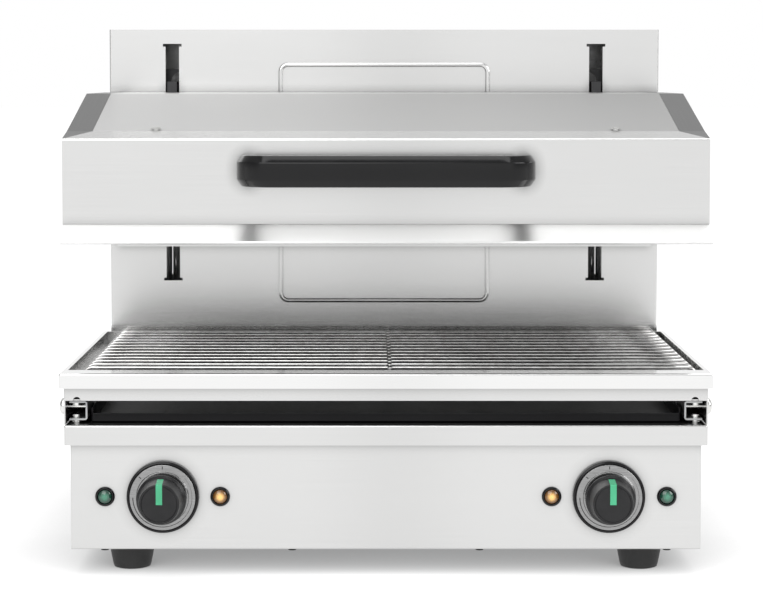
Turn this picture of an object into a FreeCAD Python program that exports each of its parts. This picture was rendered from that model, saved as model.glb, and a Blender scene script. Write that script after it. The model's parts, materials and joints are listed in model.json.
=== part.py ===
import FreeCAD, Part
import math
import os

import Sketcher
from FreeCAD import Placement, Rotation, Vector

# Rise-and-fall salamander grill: a heated head slides up and down the front of a hollow column
# over a wire grate. Millimetres, +X to the viewer's right, -Y towards the cook, +Z up,
# origin on the floor under the middle of the whole grill.

# Driving dimensions
sizes = {
    # cabinet and its cover
    "cabinet_width": 590,
    "cabinet_depth": 490,
    "cabinet_height": 116.8,
    "foot_height": 25,
    "sheet": 1.2,
    "bend_radius": 2,
    "seam": 0.2,
    "lip": 14,
    "panel_wrap": 16,
    "skirt_height": 19,
    "cover_overhang": 5,
    "cover_nose": 6,
    "overrun": 5,
    # bottom plate and rear openings
    "vent_length": 90,
    "vent_width": 5,
    "vent_pitch": 14,
    "vent_count": 6,
    "gland_diameter": 20,
    "gland_offset": 180,
    "gland_height": 70,
    "gland_reach": 18,
    "gland_collar": 27,
    "gland_flange": 4,
    "terminal_length": 60,
    "terminal_depth": 24,
    "terminal_height": 20,
    "terminal_ways": 5,
    "terminal_hole": 5,
    # feet
    "foot_side_inset": 53,
    "foot_inset": 45,
    "foot_top_diameter": 44,
    "foot_bottom_diameter": 36.6,
    "foot_rounding": 4,
    "foot_recess_diameter": 16,
    "foot_recess_depth": 14,
    # screws
    "screw_diameter": 5,
    "screw_head": 9.5,
    "screw_dome": 3,
    "screw_length": 10,
    "screw_play": 0.2,
    "panel_screw_inset": 31,
    "panel_screw_head": 7.5,
    # dials and knobs
    "knob_inset": 86.5,
    "control_height": 75,
    "bezel_diameter": 67.5,
    "bezel_thickness": 4.5,
    "dial_diameter": 63.4,
    "dial_thickness": 2,
    "dial_rise": 1.2,
    "dial_bore": 12,
    "knob_gap": 1.5,
    "knob_stem_diameter": 40,
    "knob_lip_diameter": 46.4,
    "knob_lip_start": 17,
    "knob_lip_thickness": 3,
    "knob_face_diameter": 37,
    "knob_reach": 42,
    "knob_edge": 1.2,
    "knob_hub_depth": 22,
    "pointer_width": 5.8,
    "pointer_depth": 1.6,
    "pointer_proud": 0.3,
    "pointer_start_share": 0.42,
    "spindle_diameter": 6,
    "spindle_play": 0.08,
    "regulator_width": 46,
    "regulator_height": 48,
    "regulator_depth": 34,
    "regulator_bush": 10,
    "regulator_plate": 2,
    "regulator_tab": 6.3,
    "regulator_tab_thickness": 0.8,
    "regulator_tab_length": 8,
    # lamps
    "lamp_outer_offset": 54.2,
    "lamp_inner_offset": 53.5,
    "lamp_diameter": 18.3,
    "lamp_flange": 2.6,
    "lamp_lens_diameter": 13.4,
    "lamp_lens_proud": 2.2,
    "lamp_body_diameter": 12,
    "lamp_body_length": 28,
    # side channels, studs, guides and drip tray in the slot under the frame
    "slot_height": 23,
    "channel_inset": 15.3,
    "channel_width": 16.8,
    "channel_sheet": 1.6,
    "channel_corner": 2.6,
    "channel_set_back": 8,
    "channel_screw_offset": 11.4,
    "channel_screw_inset": 9,
    "channel_screw_head": 8.5,
    "lower_collar": 2.8,
    "upper_collar": 2.4,
    "collar_diameter": 8,
    "stud_diameter": 15.5,
    "stud_thickness": 8,
    "stud_pin": 4,
    "stud_height": 13.7,
    "stud_inset": 25,
    "guide_clear": 0.6,
    "guide_set_back": 60,
    "guide_flange": 10,
    "guide_height": 17,
    "tray_play": 1.5,
    "tray_front_height": 8,
    "tray_wall_height": 13,
    "tray_length": 322,
    "tray_set_back": 9,
    "tray_hem": 3,
    # support frame, rim and grate
    "support_height": 12,
    "support_ledge": 17,
    "support_notch": 7.2,
    "support_notch_inset": 7.2,
    "support_window_front": 42,
    "support_window_back": 24,
    "rim_height": 14,
    "rim_overhang": 9,
    "rim_nose": 12,
    "well_flange": 5.5,
    "well_front": 16,
    "well_back": 5,
    "ledge": 16,
    "upstand": 6,
    "grate_rod": 4,
    "grate_count": 13,
    "grate_first": 33,
    "grate_last": 6,
    "grate_clear": 6.2,
    "grate_shift": 3.8,
    "grate_bend": 9,
    "grate_proud": 2,
    "grate_spine": 5,
    "grate_spine_bend": 5,
    # column
    "column_depth": 140,
    "column_height": 374.2,
    "column_sheet": 1.5,
    "slot_inset": 67.4,
    "slot_width": 14.6,
    "slot_low": 247,
    "slot_high": 502,
    "slot_relief_width": 20,
    "slot_relief_height": 3,
    "slot_fold": 12,
    "bead_width": 228,
    "bead_low": 222.6,
    "bead_high": 482.5,
    "bead_corner": 8,
    "bead_diameter": 5.6,
    "bead_sink": 1.6,
    "louvre_width": 120,
    "louvre_height": 6,
    "louvre_pitch": 22,
    "louvre_count": 9,
    "louvre_low": 250,
    "louvre_offset": 120,
    # lifting gear inside the column
    "guide_rod_diameter": 16,
    "guide_rod_inset": 33,
    "gear_depth": 46,
    "block_width": 86,
    "block_depth": 34,
    "lower_block_low": 178,
    "lower_block_height": 24,
    "upper_block_height": 12,
    "upper_block_inner": 13,
    "bush_wall": 2.5,
    "bush_length": 18,
    "bush_play": 0.06,
    "carriage_low": 345,
    "carriage_high": 455,
    "carriage_block": 30,
    "carriage_plate": 6,
    "carriage_wing_high": 475,
    "carriage_wing_margin": 4,
    "carriage_bolt_head": 13,
    "carriage_washer": 21,
    "carriage_washer_thickness": 1.8,
    "carriage_bolt_thickness": 6,
    "carriage_bolt_inner": 7.1,
    "carriage_bolt_low": 385,
    "arm_thickness": 10,
    "arm_low": 365,
    "arm_high": 461.5,
    "arm_plate_width": 38,
    "arm_plate": 8,
    "arm_plate_set_back": 20,
    "plate_bolt_offset": 12.4,
    "plate_bolt_washer": 12,
    "plate_bolt_head": 8,
    "spring_offset": 4.7,
    "spring_rod": 8,
    "spring_tube": 20,
    "spring_wall": 1.2,
    "spring_low": 292,
    "spring_high": 440,
    "spring_gland": 8,
    "spring_piston": 6,
    "spring_piston_high": 346,
    "spring_play": 0.1,
    # head
    "head_overlap": 4.25,
    "head_overhang": 10,
    "head_gap": 6,
    "head_low": 331,
    "head_front_height": 79,
    "crease_back": 36,
    "crease_rise": 6,
    "ridge_back": 191,
    "ridge_rise": 40,
    "side_flange": 24,
    "side_rear_low": 292,
    "roof_lap": 14,
    "visor_reach": 24,
    "visor_drop": 14.6,
    "visor_flange": 18,
    "visor_hem": 2.4,
    "back_margin": 12.25,
    "back_low": 284.4,
    "roof_screw_front_inset": 83.25,
    "roof_screw_front": 5,
    "roof_screw_rear_inset": 29.25,
    "roof_screw_rear": 230,
    "reflector_inset": 8,
    "reflector_low": 320,
    "reflector_height": 27,
    "pad_height": 30,
    "pad_inset": 12,
    "element_diameter": 8,
    "element_length": 290,
    "element_inner_width": 56,
    "element_outer_width": 150,
    "element_drop": 9,
    "support_thickness": 1.5,
    "support_play": 0.2,
    # handle
    "handle_width": 275,
    "handle_height": 29,
    "handle_reach": 42,
    "handle_thickness": 17,
    "handle_centre": 381,
    "handle_bend": 28,
    "handle_rounding": 10.5,
}

doc = FreeCAD.newDocument("salamander_grill")
sheet = doc.addObject("Spreadsheet::Sheet", "Sizes")
for row, (name, value) in enumerate(sizes.items(), 1):
    sheet.set("A%d" % row, name)
    sheet.set("B%d" % row, str(value))
    sheet.setAlias("B%d" % row, name)
doc.recompute()


class Size:
    """A length with its present number and the sheet expression that drives it."""

    def __init__(self, text, number):
        self.text = text
        self.number = number

    def __add__(self, other):
        return Size("(%s + %s)" % (self.text, text_of(other)), self.number + number_of(other))

    def __radd__(self, other):
        return Size("(%s + %s)" % (text_of(other), self.text), number_of(other) + self.number)

    def __sub__(self, other):
        return Size("(%s - %s)" % (self.text, text_of(other)), self.number - number_of(other))

    def __rsub__(self, other):
        return Size("(%s - %s)" % (text_of(other), self.text), number_of(other) - self.number)

    def __mul__(self, other):
        return Size("(%s * %s)" % (self.text, text_of(other)), self.number * number_of(other))

    __rmul__ = __mul__

    def __truediv__(self, other):
        return Size("(%s / %s)" % (self.text, text_of(other)), self.number / number_of(other))

    def __neg__(self):
        return Size("(0 - %s)" % self.text, -self.number)


def text_of(value):
    return value.text if isinstance(value, Size) else repr(value)


def number_of(value):
    return value.number if isinstance(value, Size) else value


class Sizes:
    """The sheet's cells as attributes."""

    def __getattr__(self, name):
        return Size("Sizes." + name, float(sheet.get(name)))


s = Sizes()

# Planes and levels that several pieces share
half_width = s.cabinet_width / 2
front = (s.head_overhang + s.handle_reach - s.cabinet_depth - s.gland_reach) / 2
back = front + s.cabinet_depth
cabinet_low = s.foot_height
cabinet_high = cabinet_low + s.cabinet_height
cover_top = cabinet_high + s.sheet
cover_half = half_width + s.cover_overhang
cover_front = front - s.cover_nose
support_low = cover_top + s.slot_height
support_high = support_low + s.support_height
rim_high = support_high + s.rim_height
rim_half = half_width + s.rim_overhang
well_half = rim_half - s.well_flange
rim_front = front - s.rim_nose
column_face = back - s.column_depth
column_high = cover_top + s.column_height
head_face = front - s.head_overhang
head_rear = column_face - s.head_gap
head_half = half_width + s.head_overlap
head_high = s.head_low + s.head_front_height
crease_y = head_face + s.crease_back
crease_z = head_high + s.crease_rise
ridge_y = head_face + s.ridge_back
ridge_z = head_high + s.ridge_rise
roof_slope = (ridge_z - crease_z) / (ridge_y - crease_y)
gear_y = column_face + s.gear_depth

# Places across the width, each tied to the cabinet's sides
foot_x = half_width - s.foot_side_inset
knob_x = half_width - s.knob_inset
lamp_outer_x = knob_x + s.lamp_outer_offset
lamp_inner_x = knob_x - s.lamp_inner_offset
panel_screw_x = half_width - s.panel_screw_inset
channel_x = half_width - s.channel_inset
channel_screw_x = channel_x + s.channel_screw_offset
slot_x = half_width - s.slot_inset
spring_x = slot_x + s.spring_offset
guide_rod_x = half_width - s.guide_rod_inset
carriage_bolt_x = slot_x - s.carriage_bolt_inner
front_screw_x = head_half - s.roof_screw_front_inset
rear_screw_x = head_half - s.roof_screw_rear_inset
nodes = []


# Drawing helpers

PLANES = {"top": "XY_Plane", "front": "XZ_Plane", "side": "YZ_Plane"}


def bind(thing, path, value):
    if isinstance(value, Size):
        thing.setExpression(path, value.text)
    elif "." not in path:
        setattr(thing, path, value)


def keep(thing, name):
    thing.Label = name
    nodes.append(thing)
    return thing


def new_body(name):
    body = doc.addObject("PartDesign::Body", name)
    body.Label = name
    return body


def new_sketch(body, view, level):
    """An empty sketch across the view's direction, at the given X, Y or Z level."""
    drawing = body.newObject("Sketcher::SketchObject", body.Name + "_sketch")
    plane = [part for part in body.Origin.OriginFeatures if part.Role == PLANES[view]][0]
    drawing.AttachmentSupport = [(plane, "")]
    drawing.MapMode = "FlatFace"
    bind(drawing, "AttachmentOffset.Base.z", -level if view == "front" else level)
    return drawing


def pin_point(drawing, curve, end, x, y):
    """Ties a point of a sketch curve to its place from the sketch's origin."""
    for kind, value in (("DistanceX", x), ("DistanceY", y)):
        if isinstance(value, Size):
            number = drawing.addConstraint(Sketcher.Constraint(kind, -1, 1, curve, end, value.number))
            drawing.setExpression("Constraints[%d]" % number, value.text)
        else:
            axis = -2 if kind == "DistanceX" else -1
            drawing.addConstraint(Sketcher.Constraint("PointOnObject", curve, end, axis))


def point_of(pair):
    return Vector(number_of(pair[0]), number_of(pair[1]), 0)


def draw_outline(drawing, points):
    """A closed run of straight lines through the points."""
    lines = []
    for here, there in zip(points, points[1:] + points[:1]):
        lines.append(drawing.addGeometry(Part.LineSegment(point_of(here), point_of(there)), False))
    for this, following in zip(lines, lines[1:] + lines[:1]):
        drawing.addConstraint(Sketcher.Constraint("Coincident", this, 2, following, 1))
    for line, pair in zip(lines, points):
        pin_point(drawing, line, 1, pair[0], pair[1])


def draw_circle(drawing, x, y, diameter):
    ring = drawing.addGeometry(Part.Circle(point_of((x, y)), Vector(0, 0, 1), diameter.number / 2), False)
    pin_point(drawing, ring, 3, x, y)
    number = drawing.addConstraint(Sketcher.Constraint("Diameter", ring, diameter.number))
    drawing.setExpression("Constraints[%d]" % number, diameter.text)


def draw_rounded(drawing, lines, radius, corners):
    """Straight lines joined by quarter circles, each with its centre, its quarter and the line ends it joins."""
    ids = []
    for ends in lines:
        line = drawing.addGeometry(Part.LineSegment(point_of(ends[0]), point_of(ends[1])), False)
        pin_point(drawing, line, 1, ends[0][0], ends[0][1])
        pin_point(drawing, line, 2, ends[1][0], ends[1][1])
        ids.append(line)
    for centre, quarter, (first, first_end), (second, second_end) in corners:
        ring = Part.Circle(point_of(centre), Vector(0, 0, 1), radius.number)
        begin = math.radians(90 * quarter)
        curve = drawing.addGeometry(Part.ArcOfCircle(ring, begin, begin + math.radians(90)), False)
        drawing.addConstraint(Sketcher.Constraint("Tangent", curve, 1, ids[first], first_end))
        drawing.addConstraint(Sketcher.Constraint("Coincident", curve, 2, ids[second], second_end))


def sweep(body, profile, path):
    pipe = body.newObject("PartDesign::AdditivePipe", body.Name + "_pipe")
    pipe.Profile = profile
    pipe.Spine = path
    doc.recompute()
    if pipe.Shape.isNull():
        raise RuntimeError("the sweep of %s failed" % body.Label)
    return pipe


def draw(drawing, outlines, circles):
    for points in outlines:
        draw_outline(drawing, points)
    for x, y, diameter in circles:
        draw_circle(drawing, x, y, diameter)


def rectangle(low_x, high_x, low_y, high_y):
    return [(low_x, low_y), (high_x, low_y), (high_x, high_y), (low_x, high_y)]


def add(body, view, low, high, outlines=(), circles=()):
    """Adds material from one level to another along the view's direction."""
    drawing = new_sketch(body, view, high if view == "front" else low)
    draw(drawing, outlines, circles)
    feature = body.newObject("PartDesign::Pad", body.Name + "_pad")
    feature.Profile = drawing
    bind(feature, "Length", high - low)
    doc.recompute()
    return feature


def remove(body, view, low, high, outlines=(), circles=()):
    """Cuts material away from one level to another along the view's direction."""
    before = body.Shape.Volume
    drawing = new_sketch(body, view, high if view == "front" else low)
    draw(drawing, outlines, circles)
    feature = body.newObject("PartDesign::Pocket", body.Name + "_pocket")
    feature.Profile = drawing
    feature.Reversed = True
    bind(feature, "Length", high - low)
    doc.recompute()
    if body.Shape.Volume >= before:
        raise RuntimeError("a pocket of %s cuts nothing" % body.Label)
    return feature


def repeat(body, feature, axis, reach, count):
    """Repeats a feature in a straight row along an axis of its own sketch."""
    row = body.newObject("PartDesign::LinearPattern", body.Name + "_row")
    row.Originals = [feature]
    row.Direction = (feature.Profile[0], [axis])
    bind(row, "Length", reach)
    row.Occurrences = count
    body.Tip = row
    doc.recompute()
    return row


def turn(body, view, level, centre, points):
    """Turns a profile of (radius, place along the axis) points about an upright line of the sketch."""
    drawing = new_sketch(body, view, level)
    draw_outline(drawing, [(centre + radius, along) for radius, along in points])
    low, high = points[0][1], points[-1][1]
    ends = (point_of((centre, low)), point_of((centre, high)))
    line = drawing.addGeometry(Part.LineSegment(*ends), True)
    pin_point(drawing, line, 1, centre, low)
    pin_point(drawing, line, 2, centre, high)
    feature = body.newObject("PartDesign::Revolution", body.Name + "_turned")
    feature.Profile = drawing
    feature.ReferenceAxis = (drawing, ["Axis0"])
    feature.Angle = 360
    doc.recompute()
    return feature


def turned_body(name, view, level, centre, points):
    body = new_body(name)
    turn(body, view, level, centre, points)
    return body


def round_edges(body, radius, wanted):
    """Rounds the straight or round edges whose middle point and direction pass the test."""
    names = []
    for number, edge in enumerate(body.Shape.Edges, 1):
        middle = edge.valueAt((edge.FirstParameter + edge.LastParameter) / 2)
        way = edge.tangentAt(edge.FirstParameter)
        if wanted(middle, way, edge):
            names.append("Edge%d" % number)
    if not names:
        raise RuntimeError("no edge of %s to round" % body.Label)
    sharp = body.Tip
    feature = body.newObject("PartDesign::Fillet", body.Name + "_rounding")
    feature.Base = (sharp, names)
    bind(feature, "Radius", radius)
    doc.recompute()
    if feature.Shape.isNull():
        raise RuntimeError("the rounding of %s failed" % body.Label)
    return feature


def upright(way):
    return abs(way.z) > abs(way.x) + abs(way.y)


def across(way):
    return abs(way.x) > abs(way.y) + abs(way.z)


def fore_and_aft(way):
    return abs(way.y) > abs(way.x) + abs(way.z)


def box(name, x, y, z):
    """A plain block between pairs of levels."""
    block = doc.addObject("Part::Box", name)
    for path, (low, high) in zip(("Length", "Width", "Height"), (x, y, z)):
        bind(block, path, high - low)
    for axis, (low, high) in zip("xyz", (x, y, z)):
        bind(block, "Placement.Base." + axis, low)
    return block


TURNS = {"x": Rotation(Vector(0, 1, 0), 90), "y": Rotation(Vector(1, 0, 0), -90), "z": Rotation()}


def rod(name, axis, centre, span, diameter):
    """A round bar along an axis: its centre gives the two other coordinates, in order."""
    bar = doc.addObject("Part::Cylinder", name)
    bind(bar, "Radius", diameter / 2)
    bind(bar, "Height", span[1] - span[0])
    bar.Placement = Placement(Vector(), TURNS[axis])
    places = list(centre)
    places.insert("xyz".index(axis), span[0])
    for letter, value in zip("xyz", places):
        bind(bar, "Placement.Base." + letter, value)
    return bar


def fuse(name, members):
    joined = doc.addObject("Part::MultiFuse", name)
    joined.Shapes = members
    return joined


def cut(name, base, tools):
    result = doc.addObject("Part::Cut", name)
    result.Base = base
    result.Tool = tools[0] if len(tools) == 1 else fuse(name + "_cutters", tools)
    return result


def group(name, members):
    """Several like solids that share one node."""
    gathered = doc.addObject("Part::Compound", name)
    gathered.Links = members
    return gathered


def sides(value):
    """The value mirrored to both sides of the middle."""
    return (-value, value)


# Cabinet

def base_front_panel():
    body = new_body("base_front_panel")
    inner = half_width - s.sheet
    wrap = front + s.panel_wrap
    add(body, "front", front, wrap, [rectangle(-half_width, half_width, cabinet_low, cabinet_high)])
    round_edges(body, s.bend_radius, lambda at, way, edge: at.y < front.number + s.sheet.number / 2
                and (upright(way) or at.z < cabinet_high.number / 2))
    remove(body, "front", front + s.sheet, wrap + s.overrun,
           [rectangle(-inner, inner, cabinet_low + s.sheet, cabinet_high - s.sheet)])
    holes = [(x, s.control_height, s.regulator_bush + s.screw_play) for x in sides(knob_x)]
    for place in (lamp_outer_x, lamp_inner_x):
        holes += [(x, s.control_height, s.lamp_body_diameter + s.screw_play) for x in sides(place)]
    remove(body, "front", front - s.overrun, front + s.sheet + s.overrun, circles=holes)
    seat = front + s.panel_wrap / 2
    places = [(x, seat, s.screw_diameter + 2 * s.screw_play)
              for spread in (panel_screw_x, panel_screw_x / 3) for x in sides(spread)]
    remove(body, "top", cabinet_low - s.overrun, cabinet_low + s.sheet + s.overrun, circles=places)
    keep(body, "base_front_panel")


def base_shell():
    """Both side walls and the back, folded from one sheet, with a lip along the foot."""
    body = new_body("base_shell")
    start = front + s.panel_wrap + s.seam
    outer = [(-half_width, start), (-half_width, back), (half_width, back), (half_width, start)]
    wall = half_width - s.sheet
    inner = [(wall, start), (wall, back - s.sheet), (-wall, back - s.sheet), (-wall, start)]
    add(body, "top", cabinet_low, cabinet_high, [outer + inner])
    round_edges(body, s.bend_radius, lambda at, way, edge: upright(way)
                and at.y > back.number - s.sheet.number / 2)
    lip = wall - s.lip
    add(body, "top", cabinet_high - s.sheet, cabinet_high,
        [[(-wall, start), (-wall, back - s.sheet), (wall, back - s.sheet), (wall, start),
          (lip, start), (lip, back - s.sheet - s.lip), (-lip, back - s.sheet - s.lip), (-lip, start)]])
    remove(body, "front", back - s.sheet - s.overrun, back + s.overrun,
           circles=[(s.gland_offset, s.gland_height, s.gland_diameter + s.screw_play)])
    low = s.gland_height - s.louvre_pitch
    feature = remove(body, "front", back - s.sheet - s.overrun, back + s.overrun,
                     [rectangle(-s.louvre_offset - s.louvre_width / 2, -s.louvre_offset + s.louvre_width / 2,
                                low, low + s.louvre_height)])
    repeat(body, feature, "V_Axis", s.louvre_pitch * 2, 3)
    keep(body, "base_shell")


def base_bottom():
    """Bottom plate with turned-up side lips, two banks of vents and the foot holes."""
    body = new_body("base_bottom")
    wall = half_width - s.sheet - s.seam
    near = front + s.panel_wrap + s.seam
    far = back - s.sheet - s.seam
    lip = cabinet_low + s.lip
    floor = cabinet_low + s.sheet
    tray = [(-wall, lip), (-wall, cabinet_low), (wall, cabinet_low), (wall, lip),
            (wall - s.sheet, lip), (wall - s.sheet, floor), (s.sheet - wall, floor), (s.sheet - wall, lip)]
    add(body, "front", near, far, [tray])
    feet = [(x, y, s.screw_diameter + 2 * s.screw_play) for x in sides(foot_x)
            for y in (front + s.foot_inset, back - s.foot_inset)]
    remove(body, "top", cabinet_low - s.overrun, cabinet_low + s.sheet + s.overrun, circles=feet)
    for x in sides(knob_x / 2):
        slot = remove(body, "top", cabinet_low - s.overrun, cabinet_low + s.sheet + s.overrun,
                      [rectangle(x - s.vent_length / 2, x + s.vent_length / 2,
                                 -s.vent_pitch, s.vent_width - s.vent_pitch)])
        repeat(body, slot, "V_Axis", s.vent_pitch * (s.vent_count - 1), int(s.vent_count.number))
    keep(body, "base_bottom")


def base_cover():
    """Lid of the cabinet with a deep skirt that overhangs it on three sides."""
    body = new_body("base_cover")
    low = cover_top - s.skirt_height
    add(body, "top", low, cover_top, [rectangle(-cover_half, cover_half, cover_front, back)])
    round_edges(body, s.bend_radius, lambda at, way, edge: at.y < back.number - s.sheet.number
                and (at.z > cover_top.number - s.sheet.number / 2 or upright(way)))
    wall = cover_half - s.sheet
    remove(body, "top", low - s.overrun, cabinet_high,
           [rectangle(-wall, wall, cover_front + s.sheet, back + s.overrun)])
    remove(body, "top", cabinet_high - s.seam, cover_top + s.seam, circles=channel_holes())
    keep(body, "base_cover")


channel_near = front + s.channel_set_back
channel_far = column_face - s.channel_set_back
channel_screw_places = [(x, y) for x in sides(channel_screw_x)
                        for y in (channel_near + s.channel_screw_inset, channel_far - s.channel_screw_inset)]


def channel_holes():
    """Screw holes near both ends of each side channel."""
    return [(x, y, s.screw_diameter + 2 * s.screw_play) for x, y in channel_screw_places]


def feet():
    places = [("foot_front_left", -1, front + s.foot_inset), ("foot_front_right", 1, front + s.foot_inset),
              ("foot_rear_left", -1, back - s.foot_inset), ("foot_rear_right", 1, back - s.foot_inset)]
    bore = s.screw_diameter / 2 + s.screw_play
    recess = s.foot_recess_diameter / 2
    rim = s.foot_bottom_diameter / 2
    screws = []
    for name, sign, y in places:
        x = foot_x * sign
        profile = [(bore, s.foot_recess_depth), (recess, s.foot_recess_depth), (recess, s.foot_rounding / 4),
                   (recess + s.foot_rounding / 4, 0), (rim - s.foot_rounding, 0),
                   (rim - s.foot_rounding / 4, s.foot_rounding / 4), (rim, s.foot_rounding),
                   (s.foot_top_diameter / 2, s.foot_height - s.foot_rounding / 2),
                   (s.foot_top_diameter / 2, s.foot_height), (bore, s.foot_height)]
        keep(turned_body(name, "front", y, x, profile), name)
        screws.append(pan_screw("foot_screw", "z", (x, y), s.foot_recess_depth, -1, s.foot_height))
    keep(group("foot_screws", screws), "foot_screws")


def pan_screw(name, axis, centre, seat, way, length, head=None):
    """A screw whose head sits outside its seat: way is the direction from the seat to the head."""
    head = head or s.screw_head
    shank = sorted((seat, seat - length * way), key=number_of)
    cap = sorted((seat, seat + s.screw_dome * way), key=number_of)
    return fuse(name, [rod(name + "_shank", axis, centre, shank, s.screw_diameter),
                       rod(name + "_head", axis, centre, cap, head)])


def dome_profile(radius, height, seat, way):
    """Points of a domed head from its seat outwards, on a circle's arc in shares of its size."""
    shares = ((1, 0), (1, 0.3), (0.86, 0.7), (0.55, 0.93), (0, 1))
    return [(radius * wide, seat + height * tall * way) for wide, tall in shares]


def base_screws():
    screws = []
    seat = front + s.panel_wrap / 2
    for spread in (panel_screw_x, panel_screw_x / 3):
        for x in sides(spread):
            screws.append(pan_screw("base_screw", "z", (x, seat), cabinet_low, -1, s.screw_length,
                                    s.panel_screw_head))
    keep(group("base_screws", screws), "base_screws")


# Controls

def dials():
    bezel_front = front - s.bezel_thickness
    dial_front = bezel_front - s.dial_thickness
    bore = s.dial_bore / 2
    bezels = []
    for side, sign in (("left", -1), ("right", 1)):
        x = knob_x * sign
        outer = s.bezel_diameter / 2
        bezel = turned_body("bezel", "top", s.control_height, x,
                            [(bore, front), (outer, front), (outer, bezel_front + s.knob_edge),
                             (outer - s.knob_edge, bezel_front), (bore, bezel_front)])
        bezels.append(bezel)
        plate = s.dial_diameter / 2
        inner = s.knob_lip_diameter / 2
        name = side + "_dial"
        keep(turned_body(name, "top", s.control_height, x,
                         [(bore, bezel_front), (plate, bezel_front), (plate, dial_front),
                          (inner, dial_front - s.dial_rise), (bore, dial_front - s.dial_rise)]), name)
    keep(group("dial_bezels", bezels), "dial_bezels")


knob_back = front - s.bezel_thickness - s.dial_thickness - s.dial_rise - s.knob_gap
knob_lip = front - s.knob_lip_start
knob_front = front - s.knob_reach


def knob_profile():
    """The turned outline of a knob's outside, from the back to the face."""
    lip = s.knob_lip_diameter / 2
    lip_front = knob_lip - s.knob_lip_thickness
    face = s.knob_face_diameter / 2
    return [(s.knob_stem_diameter / 2, knob_back), (s.knob_stem_diameter / 2, knob_lip + s.knob_edge),
            (lip, knob_lip), (lip, lip_front), (face, knob_front + s.knob_edge),
            (face - s.knob_edge, knob_front)]


def pointer_outline(clearance):
    """The pointer's side view: down the cone and along the face to the knob's centre."""
    lip = s.knob_lip_diameter / 2
    face = s.knob_face_diameter / 2
    start = knob_lip - s.knob_lip_thickness
    slope_y = knob_front + s.knob_edge - start
    start_y = start + slope_y * s.pointer_start_share
    start_r = lip + (face - lip) * s.pointer_start_share
    top = s.control_height + start_r
    shoulder = s.control_height + face
    under = s.pointer_depth + clearance
    proud = s.pointer_proud
    foot = s.control_height - clearance
    return [(start_y + clearance, top + proud), (knob_front + s.knob_edge - proud, shoulder + proud),
            (knob_front - proud, shoulder - s.knob_edge + proud), (knob_front - proud, foot),
            (knob_front + under, foot), (knob_front + under, shoulder - s.knob_edge - under),
            (start_y + clearance, top - under - under)]


def knobs():
    bore = s.spindle_diameter / 2
    for side, sign in (("left", -1), ("right", 1)):
        x = knob_x * sign
        body = new_body(side + "_knob")
        hub = knob_back - s.knob_hub_depth
        profile = [(bore, knob_back)] + knob_profile() + [(0, knob_front), (0, hub), (bore, hub)]
        turn(body, "top", s.control_height, x, profile)
        half = s.pointer_width / 2
        remove(body, "side", x - half - s.seam / 4, x + half + s.seam / 4, [pointer_outline(s.seam / 4)])
        keep(body, side + "_knob")
        bar = new_body(side + "_pointer")
        add(bar, "side", x - half, x + half, [pointer_outline(0)])
        keep(bar, side + "_pointer")
        length = (hub + s.seam, front + s.sheet + s.regulator_depth / 2)
        name = side + "_spindle"
        keep(rod(name, "y", (x, s.control_height), length, s.spindle_diameter), name)


def regulators():
    """Rotary power regulators behind the panel, each with its threaded bush and blade terminals."""
    inside = front + s.sheet
    rear = inside + s.regulator_depth
    for side, sign in (("left", -1), ("right", 1)):
        name = side + "_regulator"
        x = knob_x * sign
        half = s.regulator_width / 2
        z = s.control_height
        case = box(name + "_case", (x - half, x + half), (inside + s.regulator_plate, rear),
                   (z - s.regulator_height / 2, z + s.regulator_height / 2))
        plate = box(name + "_plate", (x - half / 2, x + half / 2), (inside, inside + s.regulator_plate),
                    (z - s.regulator_height / 2, z + s.regulator_height / 2))
        bush = rod(name + "_bush", "y", (x, z), (front - s.bezel_thickness, inside + s.regulator_plate),
                   s.regulator_bush)
        tabs = []
        for column in (-1, 0, 1):
            for level in (-1, 1):
                tab_x = x + half / 2 * column
                tab_z = z + s.regulator_height / 4 * level
                tabs.append(box(name + "_tab", (tab_x - s.regulator_tab / 2, tab_x + s.regulator_tab / 2),
                                (rear, rear + s.regulator_tab_length),
                                (tab_z, tab_z + s.regulator_tab_thickness)))
        depth = (front - s.bezel_thickness - s.overrun, inside + s.regulator_depth / 2 + s.seam)
        hole = rod(name + "_bore", "y", (x, z), depth, s.spindle_diameter + 2 * s.spindle_play)
        keep(cut(name, fuse(name + "_solid", [case, plate, bush] + tabs), [hole]), name)


def lamps():
    """Four indicator lamps: bezels on the panel, domed lenses in them and lamp bodies behind."""
    bezels = []
    lenses = {"green_lenses": [], "amber_lenses": []}
    bodies = []
    outer = s.lamp_diameter / 2
    lens = s.lamp_lens_diameter / 2
    bezel_front = front - s.lamp_flange
    for colour, place in (("green_lenses", lamp_outer_x), ("amber_lenses", lamp_inner_x)):
        for x in sides(place):
            bezels.append(turned_body("lamp_bezel", "top", s.control_height, x,
                                      [(lens, front), (outer, front), (outer, bezel_front + s.knob_edge / 2),
                                       (outer - s.knob_edge, bezel_front), (lens, bezel_front)]))
            dome = [(radius, along) for radius, along
                    in dome_profile(lens - s.seam / 4, s.lamp_lens_proud, bezel_front, -1)]
            lenses[colour].append(turned_body("lamp_lens", "top", s.control_height, x,
                                              [(0, front), (lens - s.seam / 4, front)] + dome[1:]))
            tail = s.lamp_body_diameter / 2
            end = front + s.lamp_body_length
            tip = end + s.regulator_tab_length
            bodies.append(turned_body("lamp_body", "top", s.control_height, x,
                                      [(0, front), (tail, front), (tail, end), (tail / 2, end),
                                       (tail / 2, tip), (0, tip)]))
    keep(group("lamp_bezels", bezels), "lamp_bezels")
    keep(group("green_lenses", lenses["green_lenses"]), "green_lenses")
    keep(group("amber_lenses", lenses["amber_lenses"]), "amber_lenses")
    keep(group("lamp_bodies", bodies), "lamp_bodies")


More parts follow.
